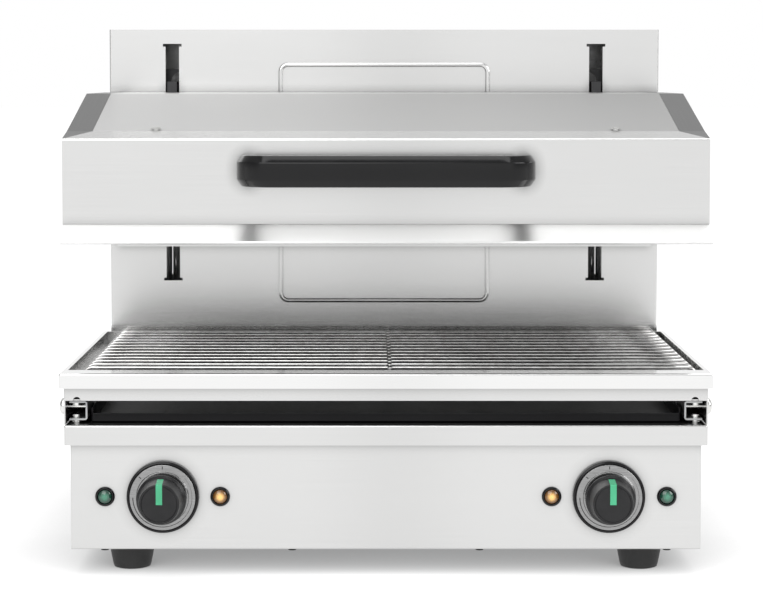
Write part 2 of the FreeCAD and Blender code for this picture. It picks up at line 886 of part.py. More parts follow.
def supply():
    """Terminal block on the bottom plate and the cable gland in the back."""
    x = s.gland_offset
    half = s.terminal_length / 2
    floor = cabinet_low + s.sheet
    y = back - s.foot_inset * 2
    block = box("terminal_solid", (x - half, x + half), (y - s.terminal_depth / 2, y + s.terminal_depth / 2),
                (floor, floor + s.terminal_height))
    pitch = s.terminal_length / s.terminal_ways
    ways = [rod("terminal_way", "y", (x - half + pitch * (number + 0.5), floor + s.terminal_height / 2),
                (y - s.terminal_depth, y + s.terminal_depth), s.terminal_hole)
            for number in range(int(s.terminal_ways.number))]
    keep(cut("terminal_block", block, ways), "terminal_block")
    bore = s.gland_diameter / 4
    neck = s.gland_diameter / 2
    collar = s.gland_collar / 2
    inside = back - s.sheet
    keep(turned_body("cable_gland", "top", s.gland_height, x,
                     [(bore, inside - s.gland_flange), (collar, inside - s.gland_flange), (collar, inside),
                      (neck, inside), (neck, back), (collar, back), (collar, back + s.gland_flange),
                      (neck, back + s.gland_flange), (neck - s.gland_flange / 2, back + s.gland_reach),
                      (bore, back + s.gland_reach)]),
         "cable_gland")


# Slot between the cover and the grate frame

def side_channels():
    """Two channels, open outwards, that carry the grate frame above the cover on short collars."""
    channels = []
    screws = []
    collars = []
    low = cover_top + s.lower_collar
    high = support_low - s.upper_collar
    wall = s.channel_sheet
    for sign in (-1, 1):
        web = channel_x * sign
        edge = (channel_x + s.channel_width) * sign
        inner = (channel_x + wall) * sign
        body = new_body("side_channel")
        add(body, "front", channel_near, channel_far,
            [[(edge, low), (web, low), (web, high), (edge, high), (edge, high - wall), (inner, high - wall),
              (inner, low + wall), (edge, low + wall)]])
        round_edges(body, s.channel_corner, lambda at, way, edge: fore_and_aft(way)
                    and abs(at.x) < channel_x.number + wall.number / 2)
        holes = [(x, y, s.screw_diameter + 2 * s.screw_play) for x, y in channel_screw_places
                 if x.number * sign > 0]
        for level in (low, high - wall):
            remove(body, "top", level - s.seam, level + wall + s.seam, circles=holes)
        channels.append(body)
    for x, y in channel_screw_places:
        screws.append(pan_screw("lower_screw", "z", (x, y), low + wall, 1, wall + s.lower_collar + s.sheet,
                                s.channel_screw_head))
        screws.append(pan_screw("upper_screw", "z", (x, y), high - wall, -1, wall + s.upper_collar + s.sheet,
                                s.channel_screw_head))
        for span in ((cover_top, low), (high, support_low)):
            ring = rod("collar_ring", "z", (x, y), span, s.collar_diameter)
            bore = rod("collar_bore", "z", (x, y), (span[0] - s.overrun, span[1] + s.overrun),
                       s.screw_diameter + 2 * s.screw_play)
            collars.append(cut("collar", ring, [bore]))
    keep(group("side_channels", channels), "side_channels")
    keep(group("channel_screws", screws), "channel_screws")
    keep(group("channel_collars", collars), "channel_collars")


stud_y = front + s.stud_inset
stud_z = cover_top + s.stud_height


def side_studs():
    """Domed stud bolts that join each side wall of the frame support to its channel."""
    studs = []
    web = channel_x + s.channel_sheet
    step = s.stud_thickness / 2
    for sign in (-1, 1):
        pin_span = sorted((web * sign, cover_half * sign), key=number_of)
        cap_span = sorted((cover_half * sign, (cover_half + step) * sign), key=number_of)
        top_span = sorted(((cover_half + step) * sign, (cover_half + step + step) * sign), key=number_of)
        dome = doc.addObject("Part::Cone", "stud_dome")
        radii = (s.stud_diameter / 2, s.stud_diameter / 3)
        bind(dome, "Radius1", radii[0] if sign > 0 else radii[1])
        bind(dome, "Radius2", radii[1] if sign > 0 else radii[0])
        bind(dome, "Height", top_span[1] - top_span[0])
        dome.Placement = Placement(Vector(), TURNS["x"])
        for letter, value in zip("xyz", (top_span[0], stud_y, stud_z)):
            bind(dome, "Placement.Base." + letter, value)
        studs.append(fuse("side_stud", [rod("stud_pin", "x", (stud_y, stud_z), pin_span, s.stud_pin),
                                        rod("stud_cap", "x", (stud_y, stud_z), cap_span, s.stud_diameter),
                                        dome]))
    keep(group("side_studs", studs), "side_studs")


guide_half = channel_x - s.guide_clear
tray_half = guide_half - s.sheet - s.tray_play
tray_low = cover_top + s.sheet


def tray_guides():
    """Angle rails that the drip tray slides on."""
    rails = []
    for sign in (-1, 1):
        body = new_body("tray_guide")
        outer = guide_half * sign
        wall = (guide_half - s.sheet) * sign
        tip = (guide_half - s.sheet - s.guide_flange) * sign
        add(body, "front", front + s.guide_set_back, channel_far,
            [[(outer, cover_top), (tip, cover_top), (tip, tray_low), (wall, tray_low),
              (wall, cover_top + s.guide_height), (outer, cover_top + s.guide_height)]])
        rails.append(body)
    keep(group("tray_guides", rails), "tray_guides")


def drip_tray():
    """Enamelled pan with a low front edge hemmed outwards."""
    body = new_body("drip_tray")
    near = front + s.tray_set_back + s.tray_hem
    far = near + s.tray_length
    add(body, "top", tray_low, tray_low + s.tray_wall_height, [rectangle(-tray_half, tray_half, near, far)])
    round_edges(body, s.bend_radius, lambda at, way, edge: upright(way))
    remove(body, "top", tray_low + s.sheet, tray_low + s.tray_wall_height + s.overrun,
           [rectangle(s.sheet - tray_half, tray_half - s.sheet, near + s.sheet, far - s.sheet)])
    remove(body, "top", tray_low + s.tray_front_height, tray_low + s.tray_wall_height + s.overrun,
           [rectangle(-tray_half - s.overrun, tray_half + s.overrun, near - s.overrun, near + s.bend_radius)])
    add(body, "top", tray_low + s.tray_front_height - s.sheet, tray_low + s.tray_front_height,
        [rectangle(s.bend_radius - tray_half, tray_half - s.bend_radius, near - s.tray_hem, near + s.sheet)])
    keep(body, "drip_tray")


def frame_support():
    """Channel-section ring under the rim with side walls down to the cover, open to the grate's well."""
    body = new_body("frame_support")
    near = front + s.support_window_front
    far = column_face - s.support_window_back
    window = half_width - s.support_ledge
    add(body, "top", support_low, support_high,
        [rectangle(-cover_half, cover_half, cover_front, column_face), rectangle(-window, window, near, far)])
    round_edges(body, s.bend_radius, lambda at, way, edge: upright(way)
                and abs(at.x) > window.number + s.sheet.number and at.y < column_face.number - s.sheet.number)
    for sign in (-1, 1):
        span = sorted(((cover_half - s.sheet) * sign, (window - s.overrun) * sign), key=number_of)
        remove(body, "top", support_low + s.sheet, support_high - s.sheet,
               [rectangle(span[0], span[1], cover_front + s.sheet, column_face - s.sheet)])
    remove(body, "top", support_low + s.sheet, support_high - s.sheet,
           [rectangle(s.overrun - window, window - s.overrun, cover_front + s.sheet, near + s.overrun)])
    remove(body, "top", support_low + s.sheet, support_high - s.sheet,
           [rectangle(s.overrun - window, window - s.overrun, far - s.overrun, column_face - s.sheet)])
    remove(body, "top", support_low - s.overrun, support_low + s.sheet + s.seam, circles=channel_holes())
    notches = [(x, support_low, s.support_notch) for x in sides(half_width - s.support_notch_inset)]
    remove(body, "front", cover_front - s.overrun, cover_front + s.sheet, circles=notches)
    for sign in (-1, 1):
        wall = sorted((cover_half * sign, (cover_half - s.sheet) * sign), key=number_of)
        add(body, "side", wall[0], wall[1],
            [rectangle(cover_front + s.bend_radius, column_face, cover_top + s.seam, support_low + s.sheet)])
        remove(body, "side", wall[0] - s.seam, wall[1] + s.seam,
               circles=[(stud_y, stud_z, s.stud_pin + 2 * s.screw_play)])
    keep(body, "frame_support")


def top_frame():
    """The polished rim: fascia, flat flange, a well with a ledge for the grate and a rear upstand."""
    body = new_body("top_frame")
    well = well_half
    near = front + s.well_front
    far = column_face - s.well_back
    add(body, "top", support_high, rim_high, [rectangle(-rim_half, rim_half, rim_front, column_face)])
    round_edges(body, s.bend_radius, lambda at, way, edge: at.y < column_face.number - s.sheet.number
                and (at.z > rim_high.number - s.sheet.number or upright(way)))
    remove(body, "top", support_high + s.sheet, rim_high + s.overrun, [rectangle(-well, well, near, far)])
    remove(body, "top", support_high - s.overrun, support_high + s.sheet + s.overrun,
           [rectangle(s.ledge - well, well - s.ledge, near + s.ledge, far - s.ledge)])
    outer = rim_half - s.sheet
    ring = [rectangle(-outer, outer, rim_front + s.sheet, column_face + s.overrun)]
    ring.append(rectangle(-well - s.sheet, well + s.sheet, near - s.sheet, far + s.sheet))
    remove(body, "top", support_high - s.overrun, rim_high - s.sheet, ring)
    add(body, "top", rim_high - s.sheet, rim_high + s.upstand,
        [rectangle(-half_width, half_width, column_face - s.sheet, column_face)])
    keep(body, "top_frame")


def bent_rod(name, level, drop, y):
    """One grate rod across the well with both ends bent down onto the ledge."""
    body = new_body(name)
    path = new_sketch(body, "front", y)
    half = well_half - s.grate_clear - s.grate_rod / 2
    left, right = s.grate_shift - half, s.grate_shift + half
    bend = s.grate_bend
    low = level - bend
    lines = [((left, drop), (left, low)), ((left + bend, level), (right - bend, level)),
             ((right, low), (right, drop))]
    corners = [((left + bend, low), 1, (1, 1), (0, 2)), ((right - bend, low), 0, (2, 1), (1, 2))]
    draw_rounded(path, lines, bend, corners)
    profile = new_sketch(body, "top", drop)
    draw_circle(profile, left, y, s.grate_rod)
    sweep(body, profile, path)
    return body


def grate_spine(level, drop, near, far):
    """The rod under the cross rods, with its front end bent down onto the ledge."""
    body = new_body("grate_spine")
    path = new_sketch(body, "side", s.grate_shift)
    bend = s.grate_spine_bend
    draw_rounded(path, [((far, level), (near + bend, level)), ((near, level - bend), (near, drop))],
                 bend, [((near + bend, level - bend), 1, (0, 2), (1, 1))])
    profile = new_sketch(body, "front", far)
    draw_circle(profile, s.grate_shift, level, s.grate_spine)
    sweep(body, profile, path)
    return body


def grate():
    """Wire grate: cross rods bent down at both ends, welded over one spine."""
    level = rim_high + s.grate_proud - s.grate_rod / 2
    drop = support_high + s.sheet + s.seam
    first = front + s.grate_first
    reach = column_face - s.well_back - s.grate_last - first
    pitch = reach / (s.grate_count - 1)
    members = [bent_rod("grate_rod_%d" % number, level, drop, first + pitch * number)
               for number in range(int(s.grate_count.number))]
    members.append(grate_spine(level - s.grate_rod / 4 - s.grate_spine / 2, drop,
                               first - s.grate_rod, first + reach + s.grate_rod))
    joined = fuse("grate", members)
    keep(joined, "grate")


# Column

def column_front():
    """Front and side walls folded from one sheet, with two lined slots and a pressed bead."""
    body = new_body("column_front")
    wall = s.column_sheet
    far = back - s.sheet
    outer = [(-half_width, far), (-half_width, column_face), (half_width, column_face), (half_width, far)]
    inner = [(half_width - wall, far), (half_width - wall, column_face + wall),
             (wall - half_width, column_face + wall), (wall - half_width, far)]
    add(body, "top", cover_top, column_high, [outer + inner])
    round_edges(body, s.bend_radius, lambda at, way, edge: upright(way)
                and at.y < column_face.number + wall.number / 2)
    for centre in sides(slot_x):
        half = s.slot_width / 2
        relief = s.slot_relief_width / 2
        low, high = s.slot_low, s.slot_high
        step = s.slot_relief_height
        shape = [(centre - relief, low), (centre + relief, low), (centre + relief, low + step),
                 (centre + half, low + step), (centre + half, high - step), (centre + relief, high - step),
                 (centre + relief, high),
                 (centre - relief, high), (centre - relief, high - step), (centre - half, high - step),
                 (centre - half, low + step), (centre - relief, low + step)]
        remove(body, "front", column_face - s.overrun, column_face + wall + s.overrun, [shape])
        add(body, "front", column_face, column_face + wall + s.slot_fold,
            [rectangle(centre - half - wall, centre - half, low + step, high - step),
             rectangle(centre + half, centre + half + wall, low + step, high - step)])
    bead(body)
    keep(body, "column_front")


def bead(body):
    """The rounded rib pressed into the column's face round a plain rectangle."""
    centre_y = column_face + s.bead_sink
    path = new_sketch(body, "front", centre_y)
    half = s.bead_width / 2 - s.bead_diameter / 2
    low = s.bead_low + s.bead_diameter / 2
    high = s.bead_high - s.bead_diameter / 2
    corner = s.bead_corner
    lines = [((corner - half, low), (half - corner, low)), ((half, low + corner), (half, high - corner)),
             ((half - corner, high), (corner - half, high)), ((-half, high - corner), (-half, low + corner))]
    corners = [((half - corner, low + corner), 3, (0, 2), (1, 1)),
               ((half - corner, high - corner), 0, (1, 2), (2, 1)),
               ((corner - half, high - corner), 1, (2, 2), (3, 1)),
               ((corner - half, low + corner), 2, (3, 2), (0, 1))]
    draw_rounded(path, lines, corner, corners)
    section = new_sketch(body, "side", corner - half)
    draw_circle(section, centre_y, low, s.bead_diameter)
    sweep(body, section, path)


def column_back():
    body = new_body("column_back")
    add(body, "front", back - s.sheet, back, [rectangle(-half_width, half_width, cover_top, column_high)])
    for centre in sides(s.louvre_offset):
        louvre = remove(body, "front", back - s.sheet - s.overrun, back + s.overrun,
                        [rectangle(centre - s.louvre_width / 2, centre + s.louvre_width / 2,
                                   s.louvre_low, s.louvre_low + s.louvre_height)])
        repeat(body, louvre, "V_Axis", s.louvre_pitch * (s.louvre_count - 1), int(s.louvre_count.number))
    keep(body, "column_back")


def column_cap():
    """Lid let in between the column's walls, with turned-down edges."""
    body = new_body("column_cap")
    half = half_width - s.column_sheet - s.seam
    near = column_face + s.column_sheet + s.seam
    far = back - s.sheet - s.seam
    low = column_high - s.upper_block_height
    add(body, "top", low, column_high, [rectangle(-half, half, near, far)])
    remove(body, "top", low - s.overrun, column_high - s.sheet,
           [rectangle(s.sheet - half, half - s.sheet, near + s.sheet, far - s.sheet)])
    keep(body, "column_cap")


# Lifting gear

def rod_blocks():
    """Lower and upper blocks that hold each guide rod; the lower one also anchors the gas spring."""
    blocks = []
    top = column_high - s.upper_block_height
    near = column_face + s.column_sheet
    for sign in (-1, 1):
        inner = slot_x - s.slot_width
        rod_x = guide_rod_x * sign
        far = gear_y + s.block_depth / 2
        x = sorted((inner * sign, (half_width - s.column_sheet) * sign), key=number_of)
        low, high = s.lower_block_low, s.lower_block_low + s.lower_block_height
        base = box("lower_block", x, (near, far), (low, high))
        bores = [rod("lower_rod_bore", "z", (rod_x, gear_y), (low + s.sheet, high + s.overrun),
                     s.guide_rod_diameter + s.spring_play),
                 rod("lower_spring_bore", "z", (spring_x * sign, gear_y),
                     (high - s.spring_gland, high + s.overrun), s.spring_rod + s.spring_play)]
        blocks.append(cut("lower_rod_block", base, bores))
        upper_x = sorted(((guide_rod_x - s.upper_block_inner) * sign, (half_width - s.column_sheet) * sign),
                         key=number_of)
        upper = box("upper_block", upper_x, (near, far), (top - s.upper_block_height, top))
        bore = rod("upper_rod_bore", "z", (rod_x, gear_y),
                   (top - s.upper_block_height - s.overrun, top + s.overrun), s.guide_rod_diameter + s.spring_play)
        blocks.append(cut("upper_rod_block", upper, [bore]))
    keep(group("rod_blocks", blocks), "rod_blocks")


def guide_rods():
    top = column_high - s.upper_block_height
    rods = [rod("guide_rod", "z", (x, gear_y), (s.lower_block_low + s.sheet, top), s.guide_rod_diameter)
            for x in sides(guide_rod_x)]
    keep(group("guide_rods", rods), "guide_rods")


def gas_springs():
    """Chrome rods anchored below, each with a piston in a tube that rises with the head."""
    rods = []
    tubes = []
    bottom = s.lower_block_low + s.lower_block_height - s.spring_gland
    bore = s.spring_tube / 2 - s.spring_wall
    inner = s.spring_rod / 2
    outer = s.spring_tube / 2
    hole = inner + s.spring_play / 2
    piston = bore - s.spring_play
    under = s.spring_piston_high - s.spring_piston
    gland = s.spring_low + s.spring_gland
    ceiling = s.spring_high - s.spring_wall * 2
    for x in sides(spring_x):
        rods.append(turned_body("spring_rod", "front", gear_y, x,
                                [(0, bottom), (inner, bottom), (inner, under), (piston, under),
                                 (piston, s.spring_piston_high), (0, s.spring_piston_high)]))
        tubes.append(turned_body("spring_tube", "front", gear_y, x,
                                 [(hole, s.spring_low), (outer, s.spring_low), (outer, s.spring_high),
                                  (0, s.spring_high), (0, ceiling), (bore, ceiling), (bore, gland), (hole, gland)]))
    keep(group("gas_spring_rods", rods), "gas_spring_rods")
    keep(group("gas_spring_tubes", tubes), "gas_spring_tubes")


plate_near = column_face + s.arm_plate_set_back
plate_far = plate_near + s.arm_plate
carriage_near = plate_far
carriage_far = carriage_near + s.carriage_plate


def carriages():
    """Plates behind the slots, each with a bored block on its guide rod and a cap over its gas spring."""
    pieces = []
    bushes = []
    bolts = []
    bore = s.guide_rod_diameter + 2 * s.bush_wall
    for sign in (-1, 1):
        inner = slot_x - s.arm_plate_width / 2
        outer = guide_rod_x + s.carriage_block / 2
        rod_x = guide_rod_x * sign
        block_inner = guide_rod_x - s.carriage_block / 2
        wing_outer = slot_x + s.slot_width / 2 + s.carriage_wing_margin
        plate_x = sorted((inner * sign, outer * sign), key=number_of)
        block_x = sorted((block_inner * sign, outer * sign), key=number_of)
        cap_x = sorted(((spring_x - s.spring_tube / 2) * sign, block_inner * sign), key=number_of)
        wing_x = sorted((inner * sign, wing_outer * sign), key=number_of)
        low, high = s.carriage_low, s.carriage_high
        plate = box("carriage_plate", plate_x, (carriage_near, carriage_far), (low, high))
        wing = box("carriage_wing", wing_x, (carriage_near, carriage_far), (low, s.carriage_wing_high))
        block = box("carriage_block", block_x, (carriage_far, gear_y + s.carriage_block / 2), (low, high))
        cap = box("carriage_cap", cap_x, (carriage_far, gear_y + s.spring_tube / 2), (s.spring_high, high))
        through = rod("carriage_bore", "z", (rod_x, gear_y), (low - s.overrun, high + s.overrun), bore)
        relief = rod("carriage_relief", "z", (spring_x * sign, gear_y), (low - s.overrun, s.spring_high),
                     s.spring_tube + 2 * s.screw_play)
        pieces.append(cut("carriage", fuse("carriage_solid", [plate, wing, block, cap]), [through, relief]))
        for low in (s.carriage_low, s.carriage_high - s.bush_length):
            ring = rod("bush_ring", "z", (rod_x, gear_y), (low, low + s.bush_length), bore)
            hole = rod("bush_hole", "z", (rod_x, gear_y), (low - s.overrun, low + s.bush_length + s.overrun),
                       s.guide_rod_diameter + 2 * s.bush_play)
            bushes.append(cut("guide_bush", ring, [hole]))
        bolts.append(hex_bolt("carriage_bolt", (carriage_bolt_x * sign, s.arm_high), carriage_near,
                              s.carriage_washer, s.carriage_bolt_head))
        for side in sides(s.plate_bolt_offset):
            bolts.append(hex_bolt("plate_bolt", (slot_x * sign + side, s.carriage_bolt_low), plate_near,
                                  s.plate_bolt_washer, s.plate_bolt_head))
    keep(group("carriages", pieces), "carriages")
    keep(group("guide_bushes", bushes), "guide_bushes")
    keep(group("carriage_bolts", bolts), "carriage_bolts")


def hex_bolt(name, place, seat, washer, width):
    """A hexagon head on a washer, seen from the front."""
    x, z = place
    disc = rod(name + "_washer", "y", place, (seat - s.carriage_washer_thickness, seat), washer)
    head = doc.addObject("Part::Prism", name + "_head")
    head.Polygon = 6
    bind(head, "Circumradius", width / 3 ** 0.5)
    bind(head, "Height", s.carriage_bolt_thickness - s.carriage_washer_thickness)
    head.Placement = Placement(Vector(), TURNS["y"])
    for letter, value in zip("xyz", (x, seat - s.carriage_bolt_thickness, z)):
        bind(head, "Placement.Base." + letter, value)
    return fuse(name, [disc, head])


def head_arms():
    """Arms that reach from the head's back through the slots, each with a plate bolted to its carriage."""
    arms = []
    for sign in (-1, 1):
        x = slot_x * sign
        height = (s.arm_low, s.arm_high)
        thin, wide = s.arm_thickness / 2, s.arm_plate_width / 2
        web = box("arm_web", (x - thin, x + thin), (head_rear, plate_near), height)
        plate = box("arm_plate", (x - wide, x + wide), (plate_near, plate_far), height)
        pocket = rod("arm_pocket", "y", (carriage_bolt_x * sign, s.arm_high),
                     (plate_far - s.carriage_bolt_thickness - s.screw_play, plate_far + s.overrun),
                     s.carriage_washer + 2 * s.screw_play)
        arms.append(cut("head_arm", fuse("arm_solid", [web, plate]), [pocket]))
    keep(group("head_arms", arms), "head_arms")


# Head

def roof_z(y):
    """Height of the sloping roof's outer face above a place between the crease and the ridge."""
    return crease_z + roof_slope * (y - crease_y)


def strip_z(y):
    """Height of the outer face of the strip between the front panel's top bend and the crease."""
    return head_high + (y - head_face) * (s.crease_rise / s.crease_back)


strip_start = head_face + s.bend_radius


def head_front():
    """Front panel, bent back at the top into a strip that laps under the roof."""
    body = new_body("head_front")
    t = s.sheet
    lap = crease_y + s.roof_lap
    profile = [(head_face, s.head_low), (head_face, head_high), (crease_y, crease_z),
               (crease_y, crease_z - t), (lap, roof_z(lap) - t), (lap, roof_z(lap) - t - t),
               (crease_y, crease_z - t - t), (crease_y - t, crease_z - t), (head_face + t, head_high - t),
               (head_face + t, s.head_low)]
    add(body, "side", -head_half, head_half, [profile])
    round_edges(body, s.bend_radius, lambda at, way, edge: across(way)
                and at.y < head_face.number + t.number / 2 and at.z > head_high.number - t.number / 2)
    inner = head_half - s.side_flange - s.seam
    for sign in (-1, 1):
        edge = (head_half - t - s.seam) * sign
        beyond = (head_half + s.overrun) * sign
        remove(body, "top", head_high - s.bend_radius - t, ridge_z,
               [[(beyond, strip_start), (edge, strip_start), (inner * sign, crease_y),
                 (inner * sign, lap + s.overrun), (beyond, lap + s.overrun)]])
    places = [(x, head_handle_z, s.screw_diameter + 2 * s.screw_play) for x in sides(handle_half)]
    remove(body, "front", head_face - s.overrun, head_face + t + s.overrun, circles=places)
    remove(body, "top", head_high - s.overrun, ridge_z, circles=slope_holes())
    keep(body, "head_front")


def slope_holes():
    """Holes for the two screws set square to the sloping roof, wide enough for their tilt."""
    bore = s.screw_diameter + 4 * s.screw_play
    return [(x, crease_y + s.roof_screw_front, bore) for x in sides(front_screw_x)]


handle_half = s.handle_width / 2 - s.handle_thickness / 2
head_handle_z = s.handle_centre


def head_roof():
    body = new_body("head_roof")
    t = s.sheet
    profile = [(crease_y, crease_z), (ridge_y, ridge_z), (head_rear, ridge_z), (head_rear, ridge_z - t),
               (ridge_y, ridge_z - t), (crease_y, crease_z - t)]
    half = head_half - s.side_flange - s.seam
    add(body, "side", -half, half, [profile])
    bore = s.screw_diameter + 2 * s.screw_play
    drill = slope_holes() + [(x, head_face + s.roof_screw_rear, bore) for x in sides(rear_screw_x)]
    remove(body, "top", head_high - s.overrun, ridge_z + s.overrun, circles=drill)
    keep(body, "head_roof")


def head_sides():
    """Side panels: a wall and a top flange that is mitred to the front strip and tucked under the roof."""
    t = s.sheet
    near = head_face + t + s.seam
    begin = strip_start + s.seam
    for side, sign in (("left", -1), ("right", 1)):
        name = "head_%s_side" % side
        body = new_body(name)
        outer = head_half * sign
        inner = (head_half - s.side_flange) * sign
        wall = sorted((outer, (head_half - t) * sign), key=number_of)
        flange = sorted((outer, inner), key=number_of)
        tucked = head_half - s.side_flange - s.roof_lap
        tuck = sorted(((head_half - t) * sign, tucked * sign), key=number_of)
        band = [(begin, strip_z(begin)), (crease_y, crease_z), (ridge_y, ridge_z), (head_rear, ridge_z),
                (head_rear, ridge_z - t), (ridge_y, ridge_z - t), (crease_y, crease_z - t),
                (begin, strip_z(begin) - t)]
        add(body, "side", flange[0], flange[1], [band])
        add(body, "side", wall[0], wall[1],
            [[(near, s.head_low - s.visor_drop), (near, head_high - t - t), (begin, head_high - t - t),
              (begin, strip_z(begin) - t / 2), (crease_y, crease_z - t / 2), (ridge_y, ridge_z - t / 2),
              (head_rear, ridge_z - t / 2), (head_rear, s.side_rear_low)]])
        lap = crease_y + s.roof_lap + s.seam
        add(body, "side", tuck[0], tuck[1],
            [[(ridge_y, ridge_z - t), (head_rear - t, ridge_z - t), (head_rear - t, ridge_z - t - t),
              (ridge_y, ridge_z - t - t), (lap, roof_z(lap) - t - t), (lap, roof_z(lap) - t)]])
        beyond = (head_half - s.side_flange - s.overrun) * sign
        edge = (head_half - t) * sign
        remove(body, "top", head_high - t - t - s.overrun, ridge_z - s.ridge_rise / 2,
               [[(beyond, near - s.overrun), (edge, near - s.overrun), (edge, strip_start), (inner, crease_y),
                 (beyond, crease_y)]])
        drill = [(rear_screw_x * sign, head_face + s.roof_screw_rear, s.screw_diameter + 2 * s.screw_play)]
        remove(body, "top", ridge_z - s.overrun, ridge_z + s.overrun, circles=drill)
        keep(body, name)


def head_visor():
    """Polished lip under the front panel, flared forwards and down, with a hemmed edge."""
    body = new_body("head_visor")
    t = s.sheet
    back_face = head_face + t
    tip_y = head_face - s.visor_reach
    top = s.head_low - s.seam
    tip_z = top - s.visor_drop
    hem = s.visor_hem / 2
    profile = [(back_face, s.head_low + s.visor_flange), (back_face, top), (head_face, top),
               (tip_y + hem, tip_z + hem / 2), (tip_y, tip_z - hem), (tip_y + hem, tip_z - hem - hem),
               (tip_y + 2 * hem, tip_z - hem),
               (head_face, top - t), (back_face + t, top - t), (back_face + t, s.head_low + s.visor_flange)]
    add(body, "side", -head_half, head_half, [profile])
    inner = head_half - t - s.seam
    for sign in (-1, 1):
        remove(body, "side", *sorted((inner * sign, (head_half + s.overrun) * sign), key=number_of),
               outlines=[rectangle(back_face, back_face + t + s.overrun, s.head_low - s.visor_drop * 2,
                                   s.head_low + s.visor_flange + s.overrun)])
    keep(body, "head_visor")


def head_back():
    body = new_body("head_back")
    t = s.sheet
    half = head_half - s.back_margin
    high = ridge_z - t - t
    add(body, "side", -half, half,
        [[(head_rear - t, s.back_low), (head_rear, s.back_low), (head_rear, high), (head_rear - s.lip, high),
          (head_rear - s.lip, high - t), (head_rear - t, high - t)]])
    keep(body, "head_back")


reflector_half = head_half - s.sheet - s.reflector_inset
reflector_near = head_face + s.sheet * 2 + s.reflector_inset
reflector_far = head_rear - s.sheet - s.reflector_inset
reflector_high = s.reflector_low + s.reflector_height


def reflector():
    """Bright inner tray over the elements, hung on out-turned edges."""
    body = new_body("reflector")
    t = s.sheet
    add(body, "top", s.reflector_low, reflector_high,
        [rectangle(-reflector_half, reflector_half, reflector_near, reflector_far)])
    remove(body, "top", s.reflector_low - s.overrun, reflector_high - t,
           [rectangle(t - reflector_half, reflector_half - t, reflector_near + t, reflector_far - t)])
    edge = head_half - t - s.seam
    for sign in (-1, 1):
        low, high = sorted((edge * sign, (reflector_half - t) * sign), key=number_of)
        add(body, "top", reflector_high - t, reflector_high, [rectangle(low, high, reflector_near, reflector_far)])
    bore = s.element_diameter + 2 * s.support_play
    circles = [(x, reflector_high - t - s.element_drop, bore) for x in element_legs()]
    remove(body, "front", reflector_far - t - s.overrun, reflector_far + s.overrun, circles=circles)
    keep(body, "reflector")


def insulation_pad():
    half = reflector_half - s.pad_inset
    keep(box("insulation_pad", (-half, half), (reflector_near + s.pad_inset, reflector_far - s.pad_inset),
             (reflector_high, reflector_high + s.pad_height)), "insulation_pad")


def element_legs():
    legs = []
    for sign in (-1, 1):
        centre = reflector_half / 2 * sign
        for width in (s.element_outer_width, s.element_inner_width):
            legs += [centre - width / 2, centre + width / 2]
    return legs


def hairpin(name, centre, width, z, near, far, diameter):
    """A tube of two straight legs joined by a half circle at the front."""
    radius = width.number / 2
    bend = near.number + radius
    left, right, level = centre.number - radius, centre.number + radius, z.number
    start = Vector(left, far.number, level)
    first = Part.LineSegment(start, Vector(left, bend, level))
    crown = Vector(centre.number, near.number, level)
    arc = Part.Arc(Vector(left, bend, level), crown, Vector(right, bend, level))
    last = Part.LineSegment(Vector(right, bend, level), Vector(right, far.number, level))
    spine = Part.Wire([first.toShape(), arc.toShape(), last.toShape()])
    ring = Part.Wire([Part.Circle(start, Vector(0, 1, 0), diameter.number / 2).toShape()])
    tube = doc.addObject("Part::Feature", name)
    tube.Shape = spine.makePipeShell([ring], True, False)
    return tube


def elements():
    """Two sheathed elements, each a pair of nested hairpins, and the perforated strips that carry them."""
    z = reflector_high - s.sheet - s.element_drop
    near = reflector_near + s.reflector_inset * 2
    far = reflector_far + s.reflector_inset / 2
    strips = []
    for side, sign in (("left", -1), ("right", 1)):
        name = side + "_element"
        centre = reflector_half / 2 * sign
        nest = (s.element_outer_width - s.element_inner_width) / 2
        pair = [hairpin(name + "_outer", centre, s.element_outer_width, z, near, far, s.element_diameter),
                hairpin(name + "_inner", centre, s.element_inner_width, z, near + nest, far, s.element_diameter)]
        keep(group(name, pair), name)
        for y in (near + s.element_outer_width, far - s.element_inner_width):
            reach = s.element_outer_width / 2 + s.lip
            strip = box("element_strip", (centre - reach, centre + reach), (y, y + s.support_thickness),
                        (z - s.element_diameter, reflector_high - s.sheet))
            bore = s.element_diameter + 2 * s.support_play
            holes = [rod("element_hole", "y", (x, z), (y - s.overrun, y + s.overrun), bore)
                     for width in (s.element_outer_width, s.element_inner_width)
                     for x in (centre - width / 2, centre + width / 2)]
            strips.append(cut("element_support", strip, holes))
    keep(group("element_supports", strips), "element_supports")


def handle():
    """Bow handle: a section with a well-rounded outer side swept round two bends."""
    body = new_body("handle")
    reach = head_face - s.handle_reach + s.handle_thickness / 2
    bend = s.handle_bend
    path = new_sketch(body, "top", s.handle_centre)
    lines = [((-handle_half, head_face), (-handle_half, reach + bend)),
             ((bend - handle_half, reach), (handle_half - bend, reach)),
             ((handle_half, reach + bend), (handle_half, head_face))]
    corners = [((bend - handle_half, reach + bend), 2, (0, 2), (1, 1)),
               ((handle_half - bend, reach + bend), 3, (1, 2), (2, 1))]
    draw_rounded(path, lines, bend, corners)
    section = new_sketch(body, "front", head_face)
    half = s.handle_thickness / 2
    rise = s.handle_height / 2
    draw_outline(section, rectangle(-handle_half - half, half - handle_half,
                                    s.handle_centre - rise, s.handle_centre + rise))
    sweep(body, section, path)
    round_edges(body, s.handle_rounding, on_outer_side)
    bores = [(x, s.handle_centre, s.screw_diameter + s.screw_play) for x in sides(handle_half)]
    remove(body, "front", head_face - s.screw_length - s.seam, head_face + s.overrun, circles=bores)
    keep(body, "handle")


